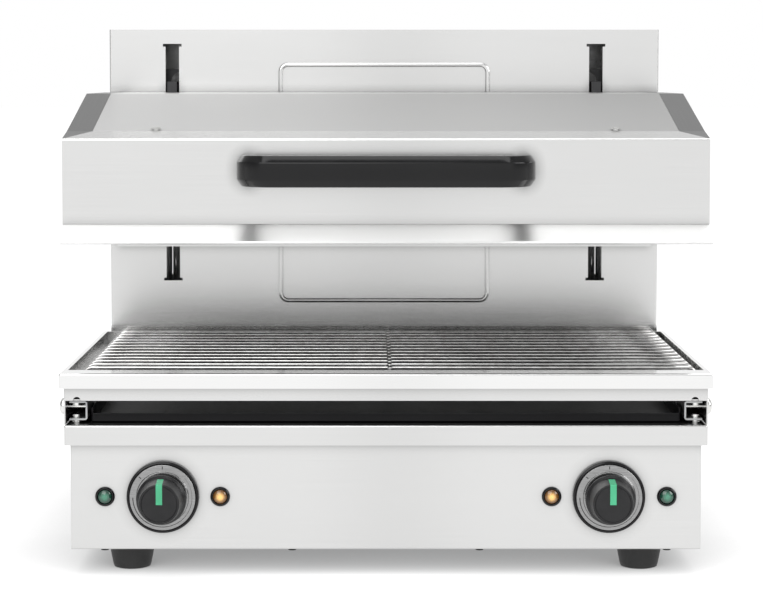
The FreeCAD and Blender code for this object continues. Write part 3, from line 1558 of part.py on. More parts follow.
def on_outer_side(at, way, edge):
    """Whether an edge runs along the handle's outer side."""
    limit = handle_half.number
    corner = s.handle_bend.number
    reach = (head_face - s.handle_reach + s.handle_thickness / 2).number
    if upright(way) or (across(way) and abs(at.y - head_face.number) < corner / 2):
        return False
    run_x = max(abs(at.x) - (limit - corner), 0)
    run_y = max((reach + corner) - at.y, 0)
    return math.hypot(run_x, run_y) > corner


def head_screws():
    """Roof screws and the two screws that hold the handle from inside."""
    screws = []
    t = s.sheet
    y = crease_y + s.roof_screw_front
    tilt = math.degrees(math.atan(number_of(roof_slope)))
    for x in sides(front_screw_x):
        screws.append(dome_screw((x, y, roof_z(y)), tilt))
    for x in sides(rear_screw_x):
        screws.append(dome_screw((x, head_face + s.roof_screw_rear, ridge_z), 0))
    for x in sides(handle_half):
        place = (x, s.handle_centre)
        screws.append(pan_screw("handle_screw", "y", place, head_face + t, 1, s.screw_length + t))
    keep(group("head_screws", screws), "head_screws")


def dome_screw(place, tilt):
    """A domed screw with its seat at the place, leaned back by the tilt."""
    shank = s.screw_diameter / 2
    dome = dome_profile(s.screw_head / 2, s.screw_dome, 0, 1)
    screw = turned_body("dome_screw", "front", 0, 0,
                        [(0, -s.screw_length), (shank, -s.screw_length), (shank, 0)] + dome)
    screw.Placement = Placement(Vector(), Rotation(Vector(1, 0, 0), tilt))
    for letter, value in zip("xyz", place):
        bind(screw, "Placement.Base." + letter, value)
    doc.recompute()
    return screw


for make in (base_front_panel, base_shell, base_bottom, base_cover, feet, base_screws, dials, knobs,
             regulators, lamps, supply, side_channels, side_studs, tray_guides, drip_tray, frame_support,
             top_frame, grate,
             column_front, column_back, column_cap, rod_blocks, guide_rods, gas_springs, carriages, head_arms,
             head_front, head_roof, head_sides, head_visor, head_back, reflector, insulation_pad, elements,
             handle, head_screws):
    make()
doc.recompute()

for thing in doc.Objects:
    if "Invalid" in thing.State or "Error" in thing.State:
        raise RuntimeError("%s failed: %s" % (thing.Label, thing.State))

os.makedirs("parts", exist_ok=True)
for thing in nodes:
    if thing.Shape.isNull() or not thing.Shape.isValid() or not thing.Shape.Solids:
        raise RuntimeError("%s has no sound shape" % thing.Label)
    thing.Shape.exportStep("parts/%s.step" % thing.Label)
print("%d nodes, %d solids" % (len(nodes), sum(len(thing.Shape.Solids) for thing in nodes)))
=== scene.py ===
import json
import math

import bmesh
import bpy
from mathutils import Matrix, Vector

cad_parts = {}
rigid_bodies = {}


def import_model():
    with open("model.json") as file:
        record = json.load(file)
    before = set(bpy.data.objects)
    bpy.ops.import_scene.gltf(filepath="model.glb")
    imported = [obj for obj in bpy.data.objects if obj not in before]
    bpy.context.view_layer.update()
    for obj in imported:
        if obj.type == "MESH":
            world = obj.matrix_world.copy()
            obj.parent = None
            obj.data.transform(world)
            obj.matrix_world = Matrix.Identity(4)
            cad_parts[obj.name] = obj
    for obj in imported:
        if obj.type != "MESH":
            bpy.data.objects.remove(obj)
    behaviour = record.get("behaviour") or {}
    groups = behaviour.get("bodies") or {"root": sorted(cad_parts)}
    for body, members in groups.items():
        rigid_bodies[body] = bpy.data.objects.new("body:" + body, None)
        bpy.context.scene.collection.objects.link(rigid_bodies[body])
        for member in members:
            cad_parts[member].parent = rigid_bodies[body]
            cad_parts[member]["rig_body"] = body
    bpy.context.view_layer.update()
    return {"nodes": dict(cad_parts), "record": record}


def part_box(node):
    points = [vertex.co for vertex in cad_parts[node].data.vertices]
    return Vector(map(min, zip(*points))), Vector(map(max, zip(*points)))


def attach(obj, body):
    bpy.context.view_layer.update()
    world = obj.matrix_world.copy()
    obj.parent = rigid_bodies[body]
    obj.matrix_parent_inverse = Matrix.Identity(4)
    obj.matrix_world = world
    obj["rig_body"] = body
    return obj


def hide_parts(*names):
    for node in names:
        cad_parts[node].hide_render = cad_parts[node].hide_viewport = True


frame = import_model()
nodes = frame["nodes"]
print("frame loaded:", len(nodes), "nodes")

mm = 0.001
tiny = 1e-7                                # in metres; a smaller radius counts as none
sides = (("left", -1), ("right", 1))


# Levels that many pieces share, read from the frame

def lowOf(node):
    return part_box(node)[0]


def highOf(node):
    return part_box(node)[1]


def middleOf(node, axis):
    # the middle of a node's box along x, y or z
    return (getattr(lowOf(node), axis) + getattr(highOf(node), axis)) / 2


panelY = lowOf("base_front_panel").y       # face of the control box
headY = lowOf("head_front").y              # face of the head
dialX = middleOf("right_dial", "x")
controlZ = middleOf("right_dial", "z")


# Node helper for shaders and geometry

class Field:
    # wraps one output socket, so that maths on it adds nodes
    def __init__(self, tree, socket=None):
        self.tree = tree
        self.socket = socket

    def node(self, kind, settings=None, values=None, out=0):
        made = self.tree.nodes.new(kind)
        for name, value in (settings or {}).items():
            setattr(made, name, value)
        for key, value in (values or {}).items():
            if isinstance(value, Field):
                self.tree.links.new(value.socket, made.inputs[key])
            elif isinstance(value, list):
                for member in value:
                    self.tree.links.new(member.socket, made.inputs[key])
            else:
                made.inputs[key].default_value = value
        return Field(self.tree, made.outputs[out])

    def maths(self, operation, *values):
        return self.node("ShaderNodeMath", {"operation": operation}, dict(enumerate(values)))

    def __add__(self, other):
        return self.maths("ADD", self, other)

    def __sub__(self, other):
        return self.maths("SUBTRACT", self, other)

    def __rsub__(self, other):
        return self.maths("SUBTRACT", other, self)

    def __mul__(self, other):
        return self.maths("MULTIPLY", self, other)

    def __truediv__(self, other):
        return self.maths("DIVIDE", self, other)

    def __pow__(self, other):
        return self.maths("POWER", self, other)

    def __neg__(self):
        return self.maths("MULTIPLY", self, -1)

    def __abs__(self):
        return self.maths("ABSOLUTE", self)

    def above(self, level, width):
        # 0 below the level, 1 above it, with a soft step of that width
        return self.node("ShaderNodeMapRange", {"interpolation_type": "SMOOTHSTEP"},
                         {"Value": self, "From Min": level - width / 2, "From Max": level + width / 2})

    def spread(self, low, high):
        # turns 0 to 1 into low to high
        return self * (high - low) + low

    def swing(self, amount):
        # turns 0 to 1 into half the amount below and above 0
        return (self - 0.5) * amount

    def part(self, letter):
        return self.node("ShaderNodeSeparateXYZ", None, {"Vector": self}, "XYZ".index(letter))

    def stretched(self, scale):
        return self.node("ShaderNodeMapping", None, {"Vector": self, "Scale": scale})

    def noise(self, scale, detail):
        values = {"Vector": self, "Scale": scale, "Detail": detail}
        return self.node("ShaderNodeTexNoise", None, values, "Fac")


def mixedColour(factor, first, second):
    # the Mix node keeps its colours in inputs 6 and 7 and output 2
    mix = factor.tree.nodes.new("ShaderNodeMix")
    mix.data_type = "RGBA"
    factor.tree.links.new(factor.socket, mix.inputs[0])
    mix.inputs[6].default_value = (*first, 1)
    mix.inputs[7].default_value = (*second, 1)
    return Field(factor.tree, mix.outputs[2])


def newMaterial(name):
    # a material with its Principled shader, the start of its fields and its Object coordinates
    material = bpy.data.materials.new(name)
    material.use_nodes = True
    start = Field(material.node_tree)
    shader = material.node_tree.nodes["Principled BSDF"]
    place = start.node("ShaderNodeTexCoord", out="Object")
    return material, start, shader, place


def feed(shader, **values):
    # sets or links sockets of the Principled shader, written as baseColor and so on
    names = {"baseColor": "Base Color", "roughness": "Roughness", "metallic": "Metallic", "normal": "Normal",
             "coat": "Coat Weight", "coatRoughness": "Coat Roughness", "specular": "Specular IOR Level",
             "emission": "Emission Color", "emissionStrength": "Emission Strength"}
    for key, value in values.items():
        target = shader.inputs[names[key]]
        if isinstance(value, Field):
            value.tree.links.new(value.socket, target)
        else:
            target.default_value = value


def bump(height, strength, distance):
    values = {"Height": height, "Strength": strength, "Distance": distance}
    return height.node("ShaderNodeBump", None, values, "Normal")


# Sheet metal: horizontal grain on upright faces, and grain along X or Y on level ones

# The level colour of each sheet is a painted shade: level faces get a darker tone than upright ones for the
# light that falls on them
sheetLooks = {
    "brushedSheet": {"tone": (0.765, 0.765, 0.76), "level": (0.64, 0.64, 0.635), "grain": "x",
                     "roughness": 0.24, "streak": 0.05},
    "sideSheet": {"tone": (0.70, 0.70, 0.695), "level": (0.15, 0.15, 0.15), "grain": "y",
                  "roughness": 0.32, "streak": 0.05},
    "roofSheet": {"tone": (0.72, 0.72, 0.715), "level": (0.56, 0.56, 0.555), "grain": "x",
                  "roughness": 0.30, "streak": 0.06, "drift": (0.6, 0.8)},
    "rimSteel": {"tone": (0.90, 0.90, 0.895), "level": (0.80, 0.80, 0.795), "grain": "x",
                 "roughness": 0.13, "streak": 0.02},
    "visorSteel": {"tone": (0.88, 0.88, 0.875), "level": (0.84, 0.84, 0.835), "grain": "x",
                   "roughness": 0.34, "streak": 0.02},
    "brightReflector": {"tone": (0.76, 0.76, 0.76), "level": (0.7, 0.7, 0.7), "grain": "x",
                        "roughness": 0.22, "streak": 0.03},
}
grain = {"fine": 2400, "coarse": 620, "length": 9, "detail": 3, "fineShare": 0.6, "bump": 0.06,
         "depth": 0.00005, "roughSwing": 0.10, "cloud": 6, "cloudShare": 0.6, "cloudRough": 0.05,
         "levelAt": 0.5, "levelWidth": 0.2}                     # where an upright face turns into a level one
# painted shade on the sheets: a dark middle band, a sloping darkening and darker inner corners
sheetShadePaint = {"band": 0.055, "bandX": 0.012, "bandWidth": 0.10,  # a darker band down the middle is painted shade
             "driftMiddle": 0.12,                               # the painted shade slope is none this far in front of Y 0
             "dirt": 0.2, "dirtReach": 0.012, "samples": 8}     # inner corners are darkened by ambient occlusion, a painted shade


def makeSheet(name, look):
    material, start, shader, place = newMaterial(name)
    facing = abs(start.node("ShaderNodeNewGeometry", out="Normal").part("Z"))
    level = facing.above(grain["levelAt"], grain["levelWidth"])
    shadePaint = sheetShadePaint

    def streaks(cross):
        long = grain["length"]
        flatScale = (long, cross, long) if look["grain"] == "x" else (cross, long, long)
        upright = place.stretched((long, long, cross)).noise(1, grain["detail"])
        flat = place.stretched(flatScale).noise(1, grain["detail"])
        return upright * (1 - level) + flat * level

    lines = streaks(grain["fine"]) * grain["fineShare"] + streaks(grain["coarse"]) * (1 - grain["fineShare"])
    cloud = place.noise(grain["cloud"], grain["detail"])
    # a darker band down the middle of each sheet, painted shade
    band = 1 - abs(place.part("X") - shadePaint["bandX"]).above(shadePaint["bandWidth"] / 2, shadePaint["bandWidth"])
    marks = lines.swing(look["streak"] * 2) + cloud.swing(look["streak"] * grain["cloudShare"])
    shade = marks - band * shadePaint["band"] + 1
    # the roof's tone slopes darker to the right and to the back, a painted shade
    if "drift" in look:
        across, along = look["drift"]
        shade = shade - place.part("X") * across - (place.part("Y") + shadePaint["driftMiddle"]) * along
    # ambient occlusion darkens the sheet in inner corners and under overhangs: painted shade
    corner = start.node("ShaderNodeAmbientOcclusion", {"samples": shadePaint["samples"]},
                        {"Distance": shadePaint["dirtReach"]}, "AO")
    shade = shade * corner.spread(shadePaint["dirt"], 1)
    # level faces take the darker level colour, a painted shade
    tone = mixedColour(level, look["tone"], look["level"])
    coloured = start.node("ShaderNodeVectorMath", {"operation": "SCALE"}, {0: tone, "Scale": shade})
    feed(shader, baseColor=coloured, metallic=1.0,
         roughness=lines.swing(grain["roughSwing"]) + cloud.swing(grain["cloudRough"]) + look["roughness"],
         normal=bump(lines, grain["bump"], grain["depth"]))
    return material


# Plain metals with their own small marks

metalLooks = {
    "galvanised": {"tone": (0.56, 0.57, 0.57), "dark": (0.44, 0.45, 0.46), "roughness": 0.42,
                   "scale": 90, "bump": 0.05},
    "zincPlate": {"tone": (0.92, 0.92, 0.91), "dark": (0.80, 0.80, 0.78), "roughness": 0.15,
                  "scale": 260, "bump": 0.02},
    "wireChrome": {"tone": (0.80, 0.80, 0.79), "dark": (0.62, 0.61, 0.60), "roughness": 0.16,
                   "scale": 120, "bump": 0.03},
    "groundRod": {"tone": (0.80, 0.80, 0.80), "dark": (0.70, 0.70, 0.70), "roughness": 0.08,
                  "scale": 300, "bump": 0.02},
    "darkBolt": {"tone": (0.10, 0.10, 0.10), "dark": (0.05, 0.05, 0.05), "roughness": 0.22,
                 "scale": 260, "bump": 0.04},
    "oiledBronze": {"tone": (0.60, 0.43, 0.22), "dark": (0.38, 0.26, 0.13), "roughness": 0.38,
                    "scale": 400, "bump": 0.08},
    "elementSheath": {"tone": (0.20, 0.175, 0.155), "dark": (0.09, 0.08, 0.075), "roughness": 0.5,
                      "scale": 60, "bump": 0.08},
}
metalMarks = {"detail": 4, "broad": 8, "broadDetail": 2, "spotShare": 0.6, "middle": 0.5, "width": 0.3,
              "roughSwing": 0.14, "depth": 0.0001}


def makeMetal(name, look):
    marks = metalMarks
    material, start, shader, place = newMaterial(name)
    spots = place.noise(look["scale"], marks["detail"])
    broad = place.noise(look["scale"] / marks["broad"], marks["broadDetail"])
    both = spots * marks["spotShare"] + broad * (1 - marks["spotShare"])
    mask = both.above(marks["middle"], marks["width"])
    feed(shader, baseColor=mixedColour(mask, look["dark"], look["tone"]), metallic=1.0,
         roughness=spots.swing(marks["roughSwing"]) + look["roughness"],
         normal=bump(spots, look["bump"], marks["depth"]))
    return material


# Plastics, rubber, enamel and the like

coatedLooks = {
    "satinPlastic": {"tone": (0.016, 0.016, 0.017), "dark": (0.010, 0.010, 0.011), "roughness": 0.32,
                     "scale": 1500, "bump": 0.08, "coat": 0.05, "coatRoughness": 0.2, "specular": 0.35},
    "glossPlastic": {"tone": (0.006, 0.006, 0.0065), "dark": (0.004, 0.004, 0.0045), "roughness": 0.13,
                     "scale": 260, "bump": 0.012, "coat": 0.1, "coatRoughness": 0.06, "specular": 0.3},
    "softRubber": {"tone": (0.030, 0.030, 0.030), "dark": (0.018, 0.018, 0.018), "roughness": 0.62,
                   "scale": 900, "bump": 0.12, "coat": 0.0, "coatRoughness": 0.3, "specular": 0.5},
    "blackEnamel": {"tone": (0.010, 0.010, 0.011), "dark": (0.006, 0.006, 0.007), "roughness": 0.45,
                    "scale": 220, "bump": 0.05, "coat": 0.0, "coatRoughness": 0.25, "specular": 0.2},
    "blackPaint": {"tone": (0.028, 0.028, 0.03), "dark": (0.02, 0.02, 0.022), "roughness": 0.45,
                   "scale": 700, "bump": 0.08, "coat": 0.1, "coatRoughness": 0.3, "specular": 0.5},
    "creamNylon": {"tone": (0.66, 0.63, 0.55), "dark": (0.58, 0.55, 0.47), "roughness": 0.45,
                   "scale": 300, "bump": 0.04, "coat": 0.0, "coatRoughness": 0.3, "specular": 0.5},
    "fibreBlanket": {"tone": (0.80, 0.78, 0.72), "dark": (0.60, 0.58, 0.52), "roughness": 0.95,
                     "scale": 340, "bump": 0.5, "coat": 0.0, "coatRoughness": 0.3, "specular": 0.5},
    "pointerInk": {"tone": (0.075, 0.50, 0.26), "dark": (0.06, 0.42, 0.21), "roughness": 0.42,
                   "scale": 600, "bump": 0.04, "coat": 0.1, "coatRoughness": 0.3, "specular": 0.5},
    "markInk": {"tone": (0.03, 0.03, 0.03), "dark": (0.02, 0.02, 0.02), "roughness": 0.6,
                "scale": 600, "bump": 0.02, "coat": 0.0, "coatRoughness": 0.3, "specular": 0.5},
}
coatedMarks = {"detail": 3, "broad": 20, "broadDetail": 2, "middle": 0.5, "width": 0.5, "spotSwing": 0.10,
               "broadSwing": 0.08, "depth": 0.0002}


def makeCoated(name, look):
    marks = coatedMarks
    material, start, shader, place = newMaterial(name)
    spots = place.noise(look["scale"], marks["detail"])
    broad = place.noise(look["scale"] / marks["broad"], marks["broadDetail"])
    mask = broad.above(marks["middle"], marks["width"])
    feed(shader, baseColor=mixedColour(mask, look["dark"], look["tone"]), specular=look["specular"],
         roughness=spots.swing(marks["spotSwing"]) + broad.swing(marks["broadSwing"]) + look["roughness"],
         normal=bump(spots, look["bump"], marks["depth"]),
         coat=look["coat"], coatRoughness=look["coatRoughness"])
    return material


# Brushed dial discs: straight grain across

dialLook = {"tone": (0.44, 0.44, 0.44), "dark": (0.28, 0.28, 0.28), "roughness": 0.20, "cross": 1800,
            "length": 60, "detail": 3, "middle": 0.5, "width": 0.6, "roughSwing": 0.12, "bump": 0.12,
            "depth": 0.00005}


def makeDialDisc():
    look = dialLook
    material, start, shader, place = newMaterial("dialDisc")
    lines = place.stretched((look["length"], look["length"], look["cross"])).noise(1, look["detail"])
    mask = lines.above(look["middle"], look["width"])
    feed(shader, baseColor=mixedColour(mask, look["dark"], look["tone"]), metallic=1.0,
         roughness=lines.swing(look["roughSwing"]) + look["roughness"],
         normal=bump(lines, look["bump"], look["depth"]))
    return material


# Lamp lenses: the attribute reach is 0 at a lens's middle and 1 at its rim. The bright middle fading to a
# dark rim and the glow are painted light.

lensLooks = {
    "greenLens": {"middle": (0.055, 0.25, 0.155), "edge": (0.01, 0.05, 0.032), "glow": 0.10},
    "amberLens": {"middle": (0.95, 0.56, 0.18), "edge": (0.12, 0.05, 0.01), "glow": 0.38},
}
lensGloss = {"rimAt": 0.48, "rimWidth": 0.75, "scale": 400, "detail": 2, "roughness": 0.06,
             "roughSwing": 0.08, "coat": 1.0, "coatRoughness": 0.03}


def makeLens(name, look):
    gloss = lensGloss
    material, start, shader, place = newMaterial(name)
    reach = start.node("ShaderNodeAttribute", {"attribute_name": "reach"}, out="Fac")
    colour = mixedColour(reach.above(gloss["rimAt"], gloss["rimWidth"]), look["middle"], look["edge"])
    spots = place.noise(gloss["scale"], gloss["detail"])
    feed(shader, baseColor=colour, roughness=spots * gloss["roughSwing"] + gloss["roughness"],
         coat=gloss["coat"], coatRoughness=gloss["coatRoughness"],
         emission=colour, emissionStrength=look["glow"])
    return material


makers = ((makeSheet, sheetLooks), (makeMetal, metalLooks),
          (makeCoated, coatedLooks), (makeLens, lensLooks))
materials = {name: make(name, look) for make, looks in makers for name, look in looks.items()}
materials["dialDisc"] = makeDialDisc()
print("materials made:", len(materials))


# Finishes of the nodes that show as the frame gives them

nodeFinishes = {
    "brushedSheet": ["base_front_panel", "base_shell", "base_cover", "frame_support", "column_front",
                     "column_back", "column_cap", "head_front", "head_back"],
    "roofSheet": ["head_roof"],
    "sideSheet": ["head_left_side", "head_right_side"],
    "rimSteel": ["top_frame"],
    "visorSteel": ["head_visor"],
    "brightReflector": ["reflector"],
    "galvanised": ["base_bottom", "side_channels", "tray_guides", "rod_blocks", "element_supports"],
    "zincPlate": ["foot_screws", "channel_screws", "channel_collars"],
    "darkBolt": ["carriage_bolts"],
    "groundRod": ["guide_rods", "gas_spring_rods", "left_spindle", "right_spindle"],
    "oiledBronze": ["guide_bushes"],
    "elementSheath": ["left_element", "right_element"],
    "blackEnamel": ["drip_tray"],
    "blackPaint": ["gas_spring_tubes", "head_arms", "carriages"],
    "softRubber": ["foot_front_left", "foot_front_right", "foot_rear_left", "foot_rear_right"],
    "satinPlastic": ["cable_gland"],
    "creamNylon": ["left_regulator", "right_regulator", "lamp_bodies", "terminal_block"],
    "fibreBlanket": ["insulation_pad"],
}
for finish, members in nodeFinishes.items():
    for member in members:
        data = nodes[member].data
        data.materials.clear()
        data.materials.append(materials[finish])
print("finishes set")


# Mesh helpers

def bodyOf(node):
    return nodes[node]["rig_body"]


def slotOf(node):
    for entry in frame["record"]["subparts"]:
        if entry["node"] == node:
            return entry["material_slot"]


def addToScene(name, data):
    made = bpy.data.objects.new(name, data)
    bpy.context.scene.collection.objects.link(made)
    return made


def finishPiece(name, mesh, finish, node, smooth):
    # a finished mesh takes its body from the node that it stands for, and looks up the node's slot without
    # using it
    piece = addToScene(name, mesh)
    mesh.materials.clear()
    mesh.materials.append(materials[finish])
    if smooth:
        shadeByAngle(mesh, smooth)
    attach(piece, bodyOf(node))
    slotOf(node)
    return piece


def shadeByAngle(mesh, degrees):
    # smooth faces, with edges sharper than the angle kept hard
    shape = bmesh.new()
    shape.from_mesh(mesh)
    for face in shape.faces:
        face.smooth = True
    for edge in shape.edges:
        edge.smooth = edge.calc_face_angle(0) < math.radians(degrees)
    shape.to_mesh(mesh)
    shape.free()


def meshFrom(name, shape, outward=True):
    if outward:
        bmesh.ops.recalc_face_normals(shape, faces=shape.faces)
    mesh = bpy.data.meshes.new(name)
    shape.to_mesh(mesh)
    shape.free()
    return mesh


latheTurns = {"x": Matrix(((0, 0, 1), (1, 0, 0), (0, 1, 0))),      # an outline's along goes to X
              "y": Matrix(((1, 0, 0), (0, 0, 1), (0, 1, 0)))}      # or to Y


def addLathe(shape, profile, centre, axis, segments, reachRadius=None):
    # turns a closed outline of (radius, along) points about an axis through the centre
    layer = shape.verts.layers.float.get("reach") if reachRadius else None
    rings = []
    for radius, along in profile:
        count = 1 if radius < tiny else segments
        ring = []
        for step in range(count):
            angle = math.tau * step / segments
            spot = Vector((radius * math.cos(angle), radius * math.sin(angle), along))
            vertex = shape.verts.new(latheTurns[axis] @ spot + Vector(centre))
            if layer:
                vertex[layer] = radius / reachRadius
            ring.append(vertex)
        rings.append(ring)
    closed = profile[0][0] > tiny or profile[-1][0] > tiny
    pairs = list(zip(rings, rings[1:])) + ([(rings[-1], rings[0])] if closed else [])
    for first, second in pairs:
        for step in range(segments):
            ahead = (step + 1) % segments
            corners = [first[step % len(first)], first[ahead % len(first)],
                       second[ahead % len(second)], second[step % len(second)]]
            corners = list(dict.fromkeys(corners))
            if len(corners) > 2:
                shape.faces.new(corners)


def addControl(shape, outline, x, segments, reachRadius=None):
    # turns an outline that counts from the panel's face about a control's axis
    profile = [(radius, panelY + along) for radius, along in outline]
    addLathe(shape, profile, (x, 0, controlZ), "y", segments, reachRadius)


def arc(centre, radius, start, end, steps):
    # points of an arc in the outline's own plane, angles in degrees
    points = []
    for step in range(steps + 1):
        angle = math.radians(start + (end - start) * step / steps)
        points.append((centre[0] + radius * math.cos(angle), centre[1] + radius * math.sin(angle)))
    return points


def rounded(points, steps):
    # an outline of (x, y, rounding) points with its corners rounded
    mostOfSide = 0.49                      # a rounding takes no more of a side than this share
    result = []
    for number, point in enumerate(points):
        own = point[2]
        here = Vector(point[:2])
        before = Vector(points[number - 1][:2])
        after = Vector(points[(number + 1) % len(points)][:2])
        if own < tiny:
            result.append(tuple(here))
            continue
        first, second = (before - here).normalized(), (after - here).normalized()
        half = first.angle(second) / 2
        reach = min(own / math.tan(half), (before - here).length * mostOfSide,
                    (after - here).length * mostOfSide)
        own = reach * math.tan(half)
        middle = here + (first + second).normalized() * (own / math.sin(half))
        begin = (here + first * reach) - middle
        end = (here + second * reach) - middle
        for step in range(steps + 1):
            spot = begin.lerp(end, step / steps).normalized() * own
            result.append(tuple(middle + spot))
    return result


# Knobs: a turned cone with a lip at its foot, a rounded face edge and a groove round the face

knobLook = {"stemRadius": 20 * mm, "back": 9.2 * mm, "backRounding": 0.4 * mm, "stemRounding": 0.6 * mm,
            "lipRadius": 23.2 * mm, "lipStart": 17 * mm, "lipThickness": 3 * mm, "lipBack": 0.8 * mm,
            "lipFront": 1.0 * mm, "flare": 2.2 * mm, "flareDepth": 2.5 * mm, "flareRounding": 3 * mm,
            "faceRadius": 18.5 * mm, "reach": 42 * mm, "edge": 1.6 * mm, "groove": 0.45 * mm,
            "grooveRadius": 16.4 * mm, "grooveRounding": 0.1 * mm, "roundSteps": 5, "segments": 96}
pointerLook = {"width": 5.8 * mm, "proud": 0.35 * mm, "depth": 1.4 * mm, "start": 5.5 * mm,
               "flare": 1.75 * mm, "past": 0.3 * mm, "edge": 0.25 * mm, "edgeSteps": 2, "sharp": 50,
               "roundSteps": 6}


def knobOutline():
    k = knobLook
    groove, small = k["groove"], k["grooveRounding"]
    out = -k["reach"]
    lipFront = -k["lipStart"] - k["lipThickness"]
    outline = [(0, -k["back"], 0), (k["stemRadius"], -k["back"], k["backRounding"]),
               (k["stemRadius"], -k["lipStart"], k["stemRounding"]),
               (k["lipRadius"], -k["lipStart"], k["lipBack"]), (k["lipRadius"], lipFront, k["lipFront"]),
               (k["faceRadius"] + k["flare"], lipFront - k["flareDepth"], k["flareRounding"]),
               (k["faceRadius"], out, k["edge"]),
               (k["grooveRadius"] + groove, out, small), (k["grooveRadius"], out + groove, small),
               (k["grooveRadius"] - groove, out, small), (0, out, 0)]
    return rounded(outline, k["roundSteps"])


def makeKnobs():
    for side, sign in sides:
        node = side + "_knob"
        shape = bmesh.new()
        addControl(shape, knobOutline(), dialX * sign, knobLook["segments"])
        piece = finishPiece(side + "KnobCap", meshFrom(node, shape), "satinPlastic", node, smooth=35)
        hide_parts(node)


def makePointers():
    # bars let into the knobs, which follow the cone and turn over the edge onto the face
    k, p = knobLook, pointerLook
    start = -k["lipStart"] - k["lipThickness"] - p["start"]
    startRadius = k["faceRadius"] + p["flare"]
    face = -k["reach"]
    edge, proud, deep, half = k["edge"], p["proud"], p["depth"], p["width"] / 2
    outline = [(startRadius + proud, start)]
    outline += arc((k["faceRadius"] - edge, face + edge), edge + proud, 0, -90, p["roundSteps"])
    outline += [(-p["past"], face - proud), (-p["past"], face + deep),
                (k["faceRadius"] - edge - deep, face + deep), (startRadius - deep - deep, start)]
    for side, sign in sides:
        node = side + "_pointer"
        shape = bmesh.new()
        rims = [[], []]
        for rim, x in zip(rims, (dialX * sign - half, dialX * sign + half)):
            for radius, along in outline:
                rim.append(shape.verts.new((x, panelY + along, controlZ + radius)))
        shape.faces.new(rims[0])
        shape.faces.new(rims[1])
        for number in range(len(outline)):
            ahead = (number + 1) % len(outline)
            shape.faces.new((rims[0][number], rims[0][ahead], rims[1][ahead], rims[1][number]))
        folds = [fold for fold in shape.edges if fold.calc_face_angle(0) > math.radians(p["sharp"])]
        bmesh.ops.bevel(shape, geom=folds, offset=p["edge"], segments=p["edgeSteps"], affect="EDGES")
        piece = finishPiece(side + "PointerBar", meshFrom(node, shape), "pointerInk", node, smooth=35)
        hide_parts(node)


makeKnobs()
makePointers()
print("knobs made")


# Dials and their black rings, with a few plain ticks

dialShape = {"bore": 6 * mm, "bezelRadius": 33.75 * mm, "bezelHeight": 4.5 * mm, "bezelFoot": 0.2 * mm,
             "bezelRounding": 1.1 * mm, "bezelInner": 31.2 * mm, "lip": 0.9 * mm, "lipWidth": 0.4 * mm,
             "lipRounding": 0.6 * mm, "lipFoot": 0.1 * mm, "discRadius": 30.7 * mm, "discFront": 6.5 * mm,
             "discRounding": 0.4 * mm, "hub": 24 * mm, "hubFront": 7.7 * mm, "hubFlare": 0.8 * mm,
             "flareRounding": 0.3 * mm, "hubRounding": 0.4 * mm, "roundSteps": 4, "segments": 96}
markLook = {"depth": 0.05 * mm, "tickInner": 26.6 * mm, "tickOuter": 29.4 * mm, "tickWidth": 0.75 * mm,
            "tickAngles": (0, -48), "wedgeRadius": 27.6 * mm, "wedgeStart": 48, "wedgeEnd": 270,
            "wedgeThin": 0.15 * mm, "wedgeThick": 0.85 * mm, "wedgeSteps": 60}


def makeDials():
    d = dialShape
    shape = bmesh.new()
    top = -d["bezelHeight"]
    bezel = rounded([(d["bore"], 0, 0), (d["bezelRadius"], 0, d["bezelFoot"]),
                     (d["bezelRadius"], top, d["bezelRounding"]),
                     (d["bezelInner"] + d["lipWidth"], top - d["lip"], d["lipRounding"]),
                     (d["bezelInner"], top, d["lipFoot"]), (d["bore"], top, 0)], d["roundSteps"])
    for sign in (-1, 1):
        addControl(shape, bezel, dialX * sign, d["segments"])
    piece = finishPiece("dialRings", meshFrom("dialRings", shape), "glossPlastic", "dial_bezels", smooth=30)
    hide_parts("dial_bezels")
    disc = rounded([(d["bore"], top, 0), (d["discRadius"], top, 0),
                    (d["discRadius"], -d["discFront"], d["discRounding"]),
                    (d["hub"] + d["hubFlare"], -d["discFront"], d["flareRounding"]),
                    (d["hub"], -d["hubFront"], d["hubRounding"]),
                    (d["bore"], -d["hubFront"], 0)], d["roundSteps"])
    for side, sign in sides:
        node = side + "_dial"
        shape = bmesh.new()
        addControl(shape, disc, dialX * sign, d["segments"])
        piece = finishPiece(side + "DialDisc", meshFrom(node, shape), "dialDisc", node, smooth=30)
        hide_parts(node)


